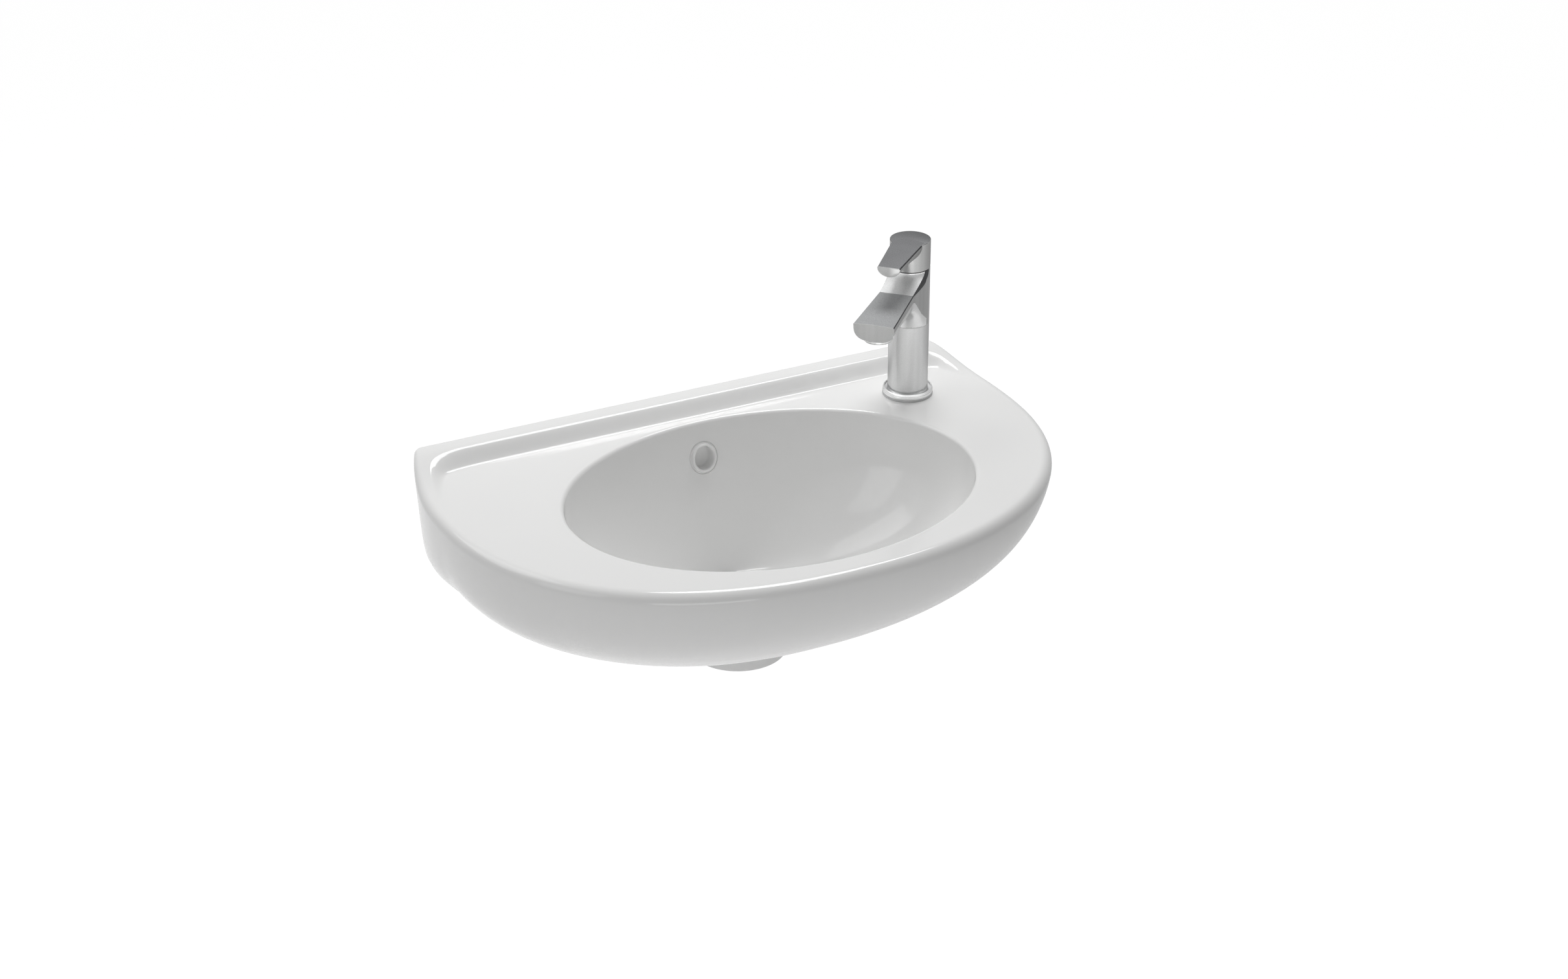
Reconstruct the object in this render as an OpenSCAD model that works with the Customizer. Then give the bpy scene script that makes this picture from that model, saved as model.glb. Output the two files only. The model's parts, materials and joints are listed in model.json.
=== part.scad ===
// Wall-hung oval basin with a tap ledge on the right, a single-lever tap and a push-open waste.
// Frame: x = 0 on the centre line, y = 0 on the wall face (front is -Y), z = 0 on the deck. Millimetres.

/* [Basin outline] */
// Greatest width of the basin
basin_w = 600; // [570:1:640]
// Depth from the wall to the front edge
basin_d = 380; // [370:1:410]
// Distance of the widest place from the wall
plan_centre = 118; // [110:1:126]
// Fullness of the plan outline, where 2 is an ellipse
plan_power = 2.26; // [2.1:0.02:2.5]
// Deck to the bottom of the outlet boss
basin_h = 211; // [205:1:222]
// Drop of the outlet boss below the belly
boss_drop = 11; // [8:1:16]
// Inward lean of the sides, in mm for each mm of height
side_lean = 0.058; // [0.02:0.002:0.08]
// Radius of the outer top edge at the front
edge_r = 10; // [7:0.5:10]
// Radius of the outer top edge at the wall
wall_edge_r = 6.5; // [4:0.5:8]
// Drop from the deck to the widest line
edge_drop = 12; // [11:1:16]

/* [Deck] */
// Height of the upstand at the wall above the deck
upstand_h = 14; // [8:1:20]
// Width of the upstand's flat top
ledge_w = 16; // [13:1:18]
// Width of the curved step from the upstand to the deck
cove_w = 17; // [12:1:18]
// Distance from the wall where the upstand has died out into the rim
fade_y = 118; // [100:1:118]

/* [Bowl] */
// Width of the bowl at the rim
bowl_w = 398; // [370:1:400]
// Length of the bowl from back to front at the rim
bowl_l = 305; // [290:1:306]
// Distance of the bowl's back rim from the wall
bowl_back = 43.5; // [42:0.5:46]
// Depth of the bowl at the outlet
bowl_depth = 146; // [136:1:148]
// Radius of the bowl's rim
rim_r = 4; // [2:0.5:5]

/* [Walls] */
// Thickness of the ceramic skins
skin_t = 9; // [7:0.5:11]
// Thickness of the plate against the wall
back_t = 14; // [11:1:17]
// Thickness of the deck
deck_t = 12; // [10:1:16]
// Half width of the rib that holds the overflow duct
rib_half = 22; // [18:1:26]
// Distance of the service openings from the centre line
pocket_in = 60; // [50:1:70]
// Distance of the service openings from the ends of the basin
pocket_inset = 96; // [85:1:110]
// Reach of the service openings from the wall
pocket_reach = 104; // [102:1:108]

/* [Outlet and overflow] */
// Distance of the outlet from the wall
outlet_y = 122; // [120:1:126]
// Diameter of the outlet hole
outlet_d = 45; // [43:0.5:48]
// Outer diameter of the outlet boss
boss_d = 96.4; // [90:0.4:100]
// Diameter of the seat for the waste flange
seat_d = 66; // [65.5:0.5:67.5]
// Depth of that seat below the bowl's floor
seat_depth = 3; // [2:0.5:5]
// Diameter of the recess for the backnut
recess_d = 70; // [69:1:74]
// Depth of the recess for the backnut
recess_depth = 14; // [12:1:16]
// Depth of the overflow below the deck
overflow_z = 35; // [30:1:40]
// Width of the overflow mouth
overflow_w = 22; // [18:1:24]
// Height of the overflow mouth
overflow_h = 25; // [22:1:28]
// Width of the raised lip round the overflow
lip_w = 2.6; // [2:0.2:4]
// Diameter of the overflow duct
duct_d = 14; // [10:1:15]

/* [Wall fixing] */
// Distance between the two wall bolts
bolt_spacing = 280; // [240:5:320]
// Depth of the wall bolts below the deck
bolt_z = 60; // [55:1:75]
// Diameter of the wall bolt holes
bolt_d = 14; // [11:1:16]

/* [Tap place] */
// Distance of the tap from the right-hand end of the basin
tap_inset = 90; // [86:1:94]
// Distance of the tap from the wall
tap_y = 76; // [72:1:80]
// Turn of the spout away from straight ahead
tap_turn = 45; // [30:1:60]
// Diameter of the tap hole
tap_hole_d = 35; // [34:0.5:36]

/* [Tap column] */
// Diameter of the column
column_d = 39.5; // [38:0.5:42]
// Height of the column's top above the deck
column_h = 134.6; // [130:0.2:140]
// Diameter of the base ring
base_ring_d = 48.6; // [47:0.2:52]
// Height of the base ring
base_ring_h = 5.3; // [4:0.1:8]
// Thickness of the rim of the base ring
base_rim_t = 1.6; // [1:0.1:2.2]
// Thickness of the base gasket
gasket_t = 2.4; // [1.5:0.1:3]
// Diameter of the spigot in the tap hole
spigot_d = 33; // [30:0.5:33.5]
// Depth of the spigot below the deck
spigot_depth = 10; // [7:1:11]

/* [Spout] */
// Distance from the column's axis to the end of the spout
spout_reach = 122.5; // [115:0.5:140]
// Height of the spout's flat top
spout_z = 124; // [122:0.5:125]
// Distance of the crease between neck and flat top
crease_u = 46; // [42:1:54]
// Width of the spout at the crease
neck_w = 34; // [32:0.5:37]
// Width of the spout at its end
spout_w = 39.8; // [37:0.2:44]
// Depth of the spout at its end
spout_t = 17.5; // [16:0.5:20]
// Height where the neck's underside runs out into the column
neck_foot_z = 77; // [70:1:85]
// Distance from the column's axis to the aerator
aerator_u = 107; // [102:0.5:108]
// Diameter of the aerator
aerator_d = 24; // [22:0.5:25]

/* [Handle] */
// Gap between the column and the cap
cap_gap = 0.8; // [0.6:0.1:1.2]
// Height of the cap's flat top above the deck
cap_z = 162.8; // [160:0.2:168]
// Distance from the axis to the tip of the lever
lever_reach = 74.5; // [65:0.5:90]
// Width of the lever where it leaves the cap
lever_root_w = 31.6; // [28:0.2:34]
// Width of the lever at its tip
lever_tip_w = 22.4; // [18:0.2:26]
// Thickness of the lever at its tip
lever_tip_t = 9.8; // [8:0.2:12]
// Greatest lift of the lever in degrees
lift_max = 22; // [15:1:24]

/* [Cartridge] */
// Diameter of the cartridge
cartridge_d = 27.8; // [27:0.1:28.4]
// Depth of the cartridge's bore below the column's top
bore_depth = 28.6; // [28.4:0.1:29.4]
// Distance from the lever's pivot to the foot of its spindle
foot_arm = 14; // [13.8:0.1:14.4]
// Thickness of the cartridge's wall
cartridge_wall = 2.3; // [2:0.1:2.6]
// Height of the lever's pivot above the column's top
pivot_rise = 1.4; // [1:0.1:2]
// Thickness of each ceramic disc
disc_t = 3; // [2.5:0.1:3.2]
// Radius of the moving disc
disc_r = 8.6; // [8:0.1:8.7]
// Diameter of the pivot pin
pin_d = 3; // [2.5:0.1:3.2]
// Width of the spindle
spindle_w = 6; // [5:0.1:6.2]
// Running clearance of the pin and the plug stem
running_gap = 0.05; // [0.03:0.01:0.08]

/* [Waste] */
// Diameter of the waste flange
flange_d = 64; // [62:0.5:65]
// Outer diameter of the waste's thread
waste_d = 41.91; // [41:0.1:42.5]
// Bore of the waste
waste_bore = 35; // [33:0.5:36]
// Length of waste thread below the outlet boss
tail_l = 7; // [5:1:9]
// Travel of the plug
plug_travel = 8; // [6:0.5:9]
// Diameter of the plug's cover
cover_d = 60; // [56:1:62]

/* [Hidden] */
$fn = 72;
fit_gap = 0.05;

// Basin: values that follow from the sizes above
belly_h = basin_h - boss_drop;
tap_x = basin_w / 2 - tap_inset;
pocket_out = basin_w / 2 - pocket_inset;
front_reach = basin_d - plan_centre;
bowl_front = bowl_back + bowl_l;
outlet_r = outlet_d / 2;
boss_r = boss_d / 2;
floor_r = seat_d / 2 + 1.5;
seat_z = -bowl_depth - seat_depth;
nut_seat_z = -basin_h + recess_depth;
plan_steps = 72;
belly_steps = [0.965, 0.93, 0.88, 0.82, 0.75, 0.67, 0.59, 0.52, 0.46, 0.4, 0.32, 0.16, 0];
hollow_steps = 48;
// The belly's reach beyond the outline, the power of its curve and the sharpness of its lower corner
// at the front, the diagonals, the sides and the wall, each against the sine of the direction
belly_reach = [[-1, 1.08], [-0.5, 1.46], [0, 1.31], [0.42, 1.45], [0.62, 1.4], [0.8, 1.3], [1, 1.3]];
belly_power = [[-1, 1.44], [-0.5, 1.29], [0, 1.41], [0.42, 1.42], [0.62, 1.8], [0.8, 2.5], [1, 3.3]];
belly_corner = [[-1, 2.6], [-0.5, 3.8], [0, 12.6], [0.42, 24], [0.62, 12], [0.8, 8], [1, 8]];
rise_power = 2.2;
corner_power = 24;
rim_side = 10.5;
rim_foot = 13;
ledge_side = 4.5;
foot_side = 16;
duct_y = 27;
duct_drop = 17;
duct_z = seat_z - duct_drop;
wall_lean = 10;
hollow_floor = 33;
core_drop = 13;
tap_space = 34;
pocket_corner = 14;
air_hole_r = 1.5;
lip_back = 4;
lip_proud = 2.2;
overflow_well = 9;
duct_overlap = 4;

// Bowl profile powers and roots: side, back and front
side_shape = [2, 1.8];
back_shape = [1.45, 1.05];
front_shape = [1.8, 1.6];

// Tap: values that follow from the sizes above
column_r = column_d / 2;
cap_base = column_h + cap_gap;
pivot_z = column_h + pivot_rise;
bore_r = cartridge_d / 2 + fit_gap;
bore_z = column_h - bore_depth;
seal_t = 1.5;
nut_depth = 4.6;
cart_r = cartridge_d / 2;
cart_in = cart_r - cartridge_wall;
cart_z = bore_z + seal_t;
plate_t = 2.5;
disc_z = cart_z + plate_t;
moving_z = disc_z + disc_t + fit_gap;
carrier_z = moving_z + disc_t;
carrier_plate_t = 2;
foot_z = pivot_z - foot_arm;
carrier_top = foot_z + 2;
foot_u = -2.6;
foot_r = 2.8;
play = 0.3;
rotor_z = carrier_z + carrier_plate_t + play;
nut_z = column_h - nut_depth;
rotor_top = nut_z - play;
fork_top = pivot_z + 4.5;
fork_r = 7.9;
nut_flange_t = 2.6;
nut_flange_r = 15.5;
cap_wall = 2.85;
cap_room = 8.5;
socket_roof = 5.3;
screw_drop = 11.8;
cap_in = column_r - cap_wall;
cap_ceiling = pivot_z + cap_room;
socket_top = cap_z - socket_roof;
spindle_u = 7;
screw_r = 2.5;
screw_z = cap_z - screw_drop;
stopper_r = 4;
stopper_t = 2.6;
stopper_inset = 0.4;
port_r = 2.6;
port_v = 6;
outlet_u = 6.5;
inlet_r = 4.6;
inlet_v = 7.5;
inlet_l = 12;
channel_r = 3;
channel_drop = 10.5;
spout_channel_z = spout_z - channel_drop;
channel_u = crease_u + 14;
stud_u = -11;
stud_r = 4;
stud_l = 42;
stud_in = 8;
clamp_r = 24;
clamp_seal_t = 2.5;
clamp_plate_t = 2;
clamp_slot = 30;
clamp_back = -5.5;
clamp_nut_d = 15;
clamp_nut_h = 12;
underside_drop = 5.5;
aerator_r = aerator_d / 2;
aerator_lip_t = 1.4;
aerator_boss_r = aerator_r + 2;
aerator_face = underside(aerator_u - aerator_boss_r) - 0.15;
aerator_l = 9;
spout_power = 2.85;
spout_edge = 0.5;
neck_facet_w = 3;
neck_facet_h = 4.2;
spout_root = 8;
ring_floor_t = 1.6;
ring_foot = 0.3;
ring_taper = 0.5;
ring_groove_z = base_ring_h * 0.6;
ring_groove_h = 0.5;
ring_groove_in = 0.5;
lever_root = 6;
lever_swell = 9;
lever_power = 2;
lever_edge_w = 0.9;
lever_edge_h = 2;

// Waste: values that follow from the sizes above
waste_r = waste_d / 2;
bore_w = waste_bore / 2;
waste_seal_t = 1.5;
flange_t = 3;
flange_top = seat_z + waste_seal_t + flange_t;
tail_z = -basin_h - tail_l;
lower_seal_t = 4;
backnut_h = 8;
backnut_r = recess_d / 2 - 1.5;
backnut_z = nut_seat_z - lower_seal_t - backnut_h;
slot_w = 12;
slot_h = 15;
web_drop = 43;
web_z = seat_z - web_drop;
web_h = 6;
web_t = 3;
hub_r = 7.5;
mech_r = 6.5;
mech_z = web_z + web_h;
stem_r = 3.4;
spring_l = 5;
mech_floor = 3;
stem_guide = 12;
stem_z = mech_z + mech_floor + spring_l;
mech_top = stem_z + plug_travel + stem_guide;
cover_gap = 0.3;
cover_z = flange_top + cover_gap;
cover_rise = 3.4;
cover_edge = 1.2;
skirt_r = bore_w - 1.4;
skirt_l = 7;
plug_ring_r = 1.35;
plug_ring_c = bore_w - 0.15 - plug_ring_r;
plug_groove_z = cover_z - skirt_l + 1.2;
plug_groove_h = 2 * plug_ring_r + 0.3;
relief_h = 1;
relief_depth = 0.6;

// Plan functions: the distance from the plan centre in direction a
function outline_r(a) = pow(
    pow(abs(cos(a)) / (basin_w / 2), plan_power) + pow(abs(sin(a)) / front_reach, plan_power),
    -1 / plan_power);
function wall_r(a, inset) = (plan_centre - inset) / max(sin(a), 0.02);
function soft_min(p, q, power) = pow(pow(p, -power) + pow(q, -power), -1 / power);
function rounded_min(p, q) = soft_min(p, q, corner_power);
function ellipse_r(a, cy, ea, eb) = let (
        dy = -plan_centre - cy,
        k = pow(cos(a) / ea, 2) + pow(sin(a) / eb, 2),
        h = dy * sin(a) / (eb * eb),
        c = dy * dy / (eb * eb) - 1)
    (-h + sqrt(h * h - k * c)) / k;
function at(a, r, z) = [r * cos(a), -plan_centre + r * sin(a), z];
function clamp01(t) = min(max(t, 0), 1);
function smooth(t) = let (c = clamp01(t)) c * c * (3 - 2 * c);

// Rim: how far the upstand has risen on the ray through a, from 0 to 1
function ray_y(a) = min(-plan_centre + outline_r(a) * sin(a), 0);
function risen(a) = clamp01((ray_y(a) + fade_y) / fade_y);
function rise(a) = smooth(pow(risen(a), rise_power));
function rim_z(a) = upstand_h * rise(a);
function edge_at(a) = edge_r + (wall_edge_r - edge_r) * rise(a);

// Belly: a leaning side and a rounded bottom, and the smaller radius of the two, softly joined
function belly_u(z) = clamp01((-z - edge_drop) / (belly_h - edge_drop)) * 0.995;
function belly_z(u) = -edge_drop - (belly_h - edge_drop) * u;
function belly_r(a, z) = let (
        s = sin(a),
        reach = lookup(s, belly_reach),
        corner = lookup(s, belly_corner),
        side = outline_r(a) - side_lean * (rim_z(a) - edge_at(a) - z),
        low = outline_r(a) * reach * (1 - pow(belly_u(z), lookup(s, belly_power))))
    soft_min(side, low, corner) * pow(1 + pow(reach, -corner), 1 / corner);

function ledge_r(a) = rounded_min(outline_r(a) - rim_side - ledge_side * risen(a), wall_r(a, ledge_w));
function foot_plan_r(a) = rounded_min(
    outline_r(a) - rim_foot - foot_side * smooth(1.18 * risen(a)), wall_r(a, ledge_w + cove_w));

// Bowl: its ellipse at a share v of the depth, grown by g
function fall(v, shape) = pow(1 - pow(v, shape[0]), 1 / shape[1]);
function bowl_side(v) = floor_r + (bowl_w / 2 - floor_r) * fall(v, side_shape);
function bowl_back_y(v) = -(outlet_y - floor_r)
    + (outlet_y - floor_r - bowl_back) * fall(v, back_shape);
function bowl_front_y(v) = -(outlet_y + floor_r)
    - (bowl_front - outlet_y - floor_r) * fall(v, front_shape);
function bowl_r(a, v, g) = ellipse_r(a, (bowl_back_y(v) + bowl_front_y(v)) / 2,
    bowl_side(v) + g, (bowl_back_y(v) - bowl_front_y(v)) / 2 + g);

function plan_angles(n) = [for (i = [0 : n - 1]) 360 * i / n];
function belly_ring(u) = let (z = belly_z(u)) [for (a = plan_angles(plan_steps)) at(a, belly_r(a, z), z)];
function edge_ring(f) = [for (a = plan_angles(plan_steps))
    at(a, outline_r(a) - edge_at(a) * (1 - cos(f)), rim_z(a) - edge_at(a) * (1 - sin(f)))];
function cove_ring(t) = [for (a = plan_angles(plan_steps))
    at(a, ledge_r(a) + (foot_plan_r(a) - ledge_r(a)) * t, rim_z(a) * (1 - smooth(t)))];
function rim_ring(f) = [for (a = plan_angles(plan_steps))
    at(a, bowl_r(a, 0, rim_r * (1 - sin(f))), -rim_r * (1 - cos(f)))];
function bowl_ring(v) = [for (a = plan_angles(plan_steps)) at(a, bowl_r(a, v, 0), -bowl_depth * v)];

// Inside of the belly's skin and outside of the bowl's skin, at a height
function hollow_ring(z) = [for (a = plan_angles(hollow_steps))
    at(a, min(belly_r(a, z - skin_t * 0.7) - skin_t * 0.8, wall_r(a, back_t)), z)];
function core_ring(z) = [for (a = plan_angles(hollow_steps)) let (
        v = clamp01((-z - skin_t * 0.7) / bowl_depth))
    at(a, max(bowl_r(a, v, skin_t * 0.8), ellipse_r(a, -outlet_y, boss_r, boss_r)), z)];

// A closed skin over a stack of rings, with a middle point at each end
module skin_over(rings, low, high) {
    n = len(rings[0]);
    m = len(rings);
    points = concat([for (r = rings) for (p = r) p], [low, high]);
    faces = concat(
        [for (i = [0 : m - 2]) for (j = [0 : n - 1]) let (k = (j + 1) % n)
            each [[i * n + j, (i + 1) * n + j, (i + 1) * n + k], [i * n + j, (i + 1) * n + k, i * n + k]]],
        [for (j = [0 : n - 1]) [m * n, j, (j + 1) % n]],
        [for (j = [0 : n - 1]) [m * n + 1, (m - 1) * n + (j + 1) % n, (m - 1) * n + j]]);
    polyhedron(points = points, faces = faces);
}

module basin_skin() {
    skin_over(
        concat(
            [for (u = belly_steps) belly_ring(u)],
            [for (f = [0, 30, 60, 90]) edge_ring(f)],
            [for (t = [0, 0.25, 0.5, 0.75, 1]) cove_ring(t)],
            [for (f = [0, 45, 90]) rim_ring(f)],
            [for (v = [0.13, 0.26, 0.4, 0.54, 0.67, 0.79, 0.89, 0.96, 1]) bowl_ring(v)]),
        [0, -outlet_y, -belly_h],
        [0, -outlet_y, -bowl_depth]);
}

// Plan of the service space on one side, out to a distance, and grown by g
module service_plan(side, out, g) {
    scale([side, 1]) translate([pocket_in, -pocket_reach]) offset(delta = g) union() {
        translate([pocket_corner, 0]) square([out - pocket_in - 2 * pocket_corner, pocket_reach - back_t]);
        translate([0, pocket_corner]) square([out - pocket_in, pocket_reach - back_t - pocket_corner]);
        for (x = [pocket_corner, out - pocket_in - pocket_corner])
            translate([x, pocket_corner]) circle(pocket_corner);
    }
}

// The space between the bowl and the belly: service spaces that open downwards on each side of the
// overflow's rib, and a chamber round the front that only an air hole joins to them
module basin_hollow() {
    hollow_low = belly_h - hollow_floor;
    hollow_z = [for (t = [1, 0.87, 0.73, 0.57, 0.37, 0.18, 0]) -deck_t - (hollow_low - deck_t) * t];
    core_z = concat([-hollow_low - core_drop, -bowl_depth - skin_t],
        [for (v = [0.96, 0.84, 0.685, 0.48, 0.274]) -bowl_depth * v], [1]);
    difference() {
        union() {
            difference() {
                skin_over([for (z = hollow_z) hollow_ring(z)],
                    [0, -outlet_y, -hollow_low], [0, -outlet_y, -deck_t]);
                for (side = [-1, 1]) translate([0, 0, -basin_h]) linear_extrude(basin_h) difference() {
                    service_plan(side, tap_x + tap_space, skin_t);
                    service_plan(side, tap_x + tap_space, 0);
                }
                translate([-pocket_in, -pocket_reach - skin_t, -basin_h])
                    cube([2 * pocket_in, pocket_reach, basin_h]);
            }
            translate([0, 0, -basin_h]) {
                linear_extrude(basin_h - bolt_z - bolt_d) service_plan(-1, pocket_out, 0);
                linear_extrude(basin_h - deck_t) service_plan(1, tap_x + tap_space, 0);
            }
            for (side = [-1, 1])
                translate([side * (tap_x + tap_space - 1), -tap_y, -deck_t - 2 * air_hole_r])
                    rotate([0, side * 90, 0]) cylinder(r = air_hole_r, h = skin_t + 2);
        }
        skin_over([for (z = core_z) core_ring(z)], [0, -outlet_y, core_z[0]], [0, -outlet_y, 1]);
        translate([-rib_half, -outlet_y, -basin_h - 1]) cube([2 * rib_half, outlet_y, basin_h + 2]);
    }
}

// Place on the bowl's back wall at the height of the overflow
module at_overflow() {
    translate([0, bowl_back_y(overflow_z / bowl_depth), -overflow_z])
        rotate([90 - wall_lean, 0, 0]) children();
}

module oval(w, h, l) {
    linear_extrude(l) scale([w / 2, h / 2]) circle(1);
}

module overflow_duct() {
    duct_end = outlet_y - outlet_r + duct_overlap;
    translate([0, -duct_y, duct_z]) cylinder(d = duct_d, h = -overflow_z - duct_z);
    translate([0, -duct_y, duct_z]) sphere(d = duct_d);
    translate([0, -duct_y, duct_z]) rotate([90, 0, 0]) cylinder(d = duct_d, h = duct_end - duct_y);
    translate([0, -duct_y, -overflow_z]) sphere(d = duct_d);
    translate([0, -duct_y, -overflow_z]) rotate([90, 0, 0]) cylinder(d = duct_d, h = duct_d * 2);
}

module basin_body() {
    reach = basin_w + basin_d;
    color("white") difference() {
        union() {
            difference() {
                union() {
                    basin_skin();
                    translate([0, -outlet_y, -basin_h])
                        cylinder(r = boss_r, h = basin_h - bowl_depth - seat_depth - skin_t);
                }
                basin_hollow();
            }
            at_overflow() translate([0, 0, -lip_back])
                oval(overflow_w + 2 * lip_w, overflow_h + 2 * lip_w, lip_back + lip_proud);
        }
        translate([-reach / 2, 0, -reach / 2]) cube([reach, reach, reach]);
        for (side = [-1, 1]) {
            translate([side * bolt_spacing / 2, 1, -bolt_z])
                rotate([90, 0, 0]) cylinder(d = bolt_d, h = back_t + 2);
        }
        translate([0, -outlet_y, -basin_h - 1]) cylinder(r = outlet_r, h = basin_h);
        translate([0, -outlet_y, -basin_h - 1]) cylinder(d = recess_d, h = recess_depth + 1);
        translate([0, -outlet_y, seat_z]) cylinder(d = seat_d, h = skin_t);
        translate([tap_x, -tap_y, -deck_t - 1]) cylinder(d = tap_hole_d, h = deck_t + 2);
        at_overflow() translate([0, 0, -overflow_well])
            oval(overflow_w, overflow_h, overflow_well + 3 * lip_proud);
        overflow_duct();
    }
}

// Tap frame: +X along the spout, +Z up, on the tap's axis at deck height
module in_tap() {
    translate([tap_x, -tap_y, 0]) rotate([0, 0, 270 - tap_turn]) children();
}

// Spout: the profiles of its top and underside, and its half width, at a distance u
function neck_top(u, v) = let (
        c = sqrt(max(column_r * column_r - v * v, 0)),
        t = clamp01((u - c) / (crease_u - c)))
    u < c ? column_h - 0.4 : max(spout_z, column_h - 0.4 - (column_h - 0.4 - spout_z) * sqrt(t));
function underside(u) = let (
        flat = spout_z - spout_t - underside_drop * clamp01((spout_reach - u) / (spout_reach - crease_u)))
    u >= crease_u ? flat
        : flat - (flat - neck_foot_z) * pow((crease_u - u) / (crease_u - column_r), 2.2);
function half_w(u) = u >= crease_u
    ? (neck_w + (spout_w - neck_w) * (u - crease_u) / (spout_reach - crease_u)) / 2
    : neck_w / 2 + (column_r - 0.8 - neck_w / 2) * smooth((crease_u - u) / crease_u);

section_side = [for (i = [0 : 12]) -cos(180 * i / 12)];

// Share of the neck's facet at a distance u
function facet_share(u) = 1 - smooth((u - spout_root - 10) / (crease_u - spout_root - 8));

// The rounded lower half of a section, from the right side back to the left
function blade_bottom(u, w, side_top, low, power) = [for (i = [11 : -1 : 1]) let (s = section_side[i])
    [u, s * w, side_top - (side_top - low) * pow(1 - pow(abs(s), power), 1 / power)]];

// A section across a blade, as points in the plane at distance u: flat on top, chamfered along both
// top edges and rounded below
function lever_section(u, w, top, low) = let (flat = (w - lever_edge_w) / section_side[11]) concat(
    [[u, -w, top - lever_edge_h]],
    [for (i = [1 : 11]) [u, section_side[i] * flat, top]],
    [[u, w, top - lever_edge_h]],
    blade_bottom(u, w, top - lever_edge_h, low, lever_power));
function spout_section(u) = let (
        w = half_w(u),
        edge_w = spout_edge + (neck_facet_w - spout_edge) * facet_share(u),
        edge_h = spout_edge + (neck_facet_h - spout_edge) * facet_share(u),
        flat = (w - edge_w) / section_side[11],
        side_top = neck_top(u, w - edge_w) - edge_h) concat(
    [[u, -w, side_top]],
    [for (i = [1 : 11]) let (v = section_side[i] * flat) [u, v, neck_top(u, v)]],
    [[u, w, side_top]],
    blade_bottom(u, w, side_top, underside(u), spout_power));

// A solid through sections that follow each other along +X. Each section runs along its flat top and
// back along its rounded bottom, and its end is closed by strips between the two.
module loft(sections) {
    n = len(sections[0]);
    m = len(sections);
    half = n / 2;
    cap = concat(
        [[0, 1, n - 1], [half - 1, half, half + 1]],
        [for (i = [1 : half - 2]) each [[i, i + 1, n - i - 1], [i, n - i - 1, n - i]]]);
    last = (m - 1) * n;
    polyhedron(
        points = [for (s = sections) for (p = s) p],
        faces = concat(
            [for (i = [0 : m - 2]) for (j = [0 : n - 1]) let (k = (j + 1) % n)
                each [[i * n + j, i * n + k, (i + 1) * n + k],
                    [i * n + j, (i + 1) * n + k, (i + 1) * n + j]]],
            [for (t = cap) [t[2], t[1], t[0]]],
            [for (t = cap) [last + t[0], last + t[1], last + t[2]]]));
}

module spout_blade() {
    neck = [for (t = [0, 0.13, 0.24, 0.32, 0.4, 0.5, 0.63, 0.79]) spout_root + (crease_u - spout_root) * t];
    blade = [for (t = [0, 0.21, 0.42, 0.63, 0.84, 1]) crease_u + (spout_reach - crease_u) * t];
    loft([for (u = concat(neck, blade)) spout_section(u)]);
}

// A cylinder between two points of the tap's middle plane
module passage(u1, z1, u2, z2, r) {
    l = norm([u2 - u1, z2 - z1]);
    translate([u1, 0, z1]) rotate([0, atan2(u2 - u1, z2 - z1), 0]) cylinder(r = r, h = l);
}

module tap_body() {
    color("silver") in_tap() difference() {
        union() {
            translate([0, 0, gasket_t]) cylinder(r = column_r, h = column_h - gasket_t);
            translate([0, 0, -spigot_depth]) cylinder(d = spigot_d, h = spigot_depth + gasket_t + 1);
            spout_blade();
            translate([aerator_u, 0, aerator_face])
                cylinder(r = aerator_boss_r, h = spout_z - 4 - aerator_face);
        }
        translate([0, 0, bore_z]) cylinder(r = bore_r, h = column_h);
        for (side = [-1, 1]) {
            translate([0, side * inlet_v, -spigot_depth - 1]) cylinder(r = inlet_r, h = inlet_l + 1);
            translate([0, side * inlet_v, -spigot_depth])
                cylinder(r = channel_r, h = bore_z + spigot_depth + 1);
        }
        passage(outlet_u, bore_z + 1, outlet_u, bore_z - 6, channel_r);
        passage(outlet_u - 1, bore_z - 6, channel_u, spout_channel_z, channel_r);
        passage(channel_u - 2, spout_channel_z, aerator_u, spout_channel_z, channel_r);
        translate([aerator_u, 0, aerator_face - 1]) cylinder(r = aerator_r + fit_gap, h = aerator_l + 2.5);
        translate([stud_u, 0, -spigot_depth - 1]) cylinder(r = stud_r, h = stud_in + 1);
    }
}

module base_ring() {
    r = base_ring_d / 2;
    groove_foot = ring_groove_z - ring_groove_h;
    color("silver") in_tap() translate([0, 0, gasket_t]) rotate_extrude() polygon([
        [column_r + fit_gap, 0], [r + ring_foot, 0], [r + ring_foot, groove_foot],
        [r + ring_foot - ring_groove_in, groove_foot], [r + ring_foot - ring_groove_in, ring_groove_z],
        [r + ring_foot, ring_groove_z], [r - ring_taper, base_ring_h],
        [r - base_rim_t, base_ring_h], [r - base_rim_t, ring_floor_t], [column_r + fit_gap, ring_floor_t]]);
}

module base_gasket() {
    color("gainsboro") in_tap() difference() {
        cylinder(d = base_ring_d + 0.8, h = gasket_t);
        translate([0, 0, -1]) cylinder(d = spigot_d + 0.4, h = gasket_t + 2);
    }
}

module aerator_housing() {
    color("silver") in_tap() translate([aerator_u, 0, aerator_face]) difference() {
        union() {
            translate([0, 0, -aerator_lip_t]) cylinder(r = aerator_boss_r - 0.8, h = aerator_lip_t);
            cylinder(r = aerator_r, h = aerator_l);
        }
        translate([0, 0, -aerator_lip_t - 1]) cylinder(r = aerator_r - 2, h = aerator_l + aerator_lip_t + 2);
    }
}

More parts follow.
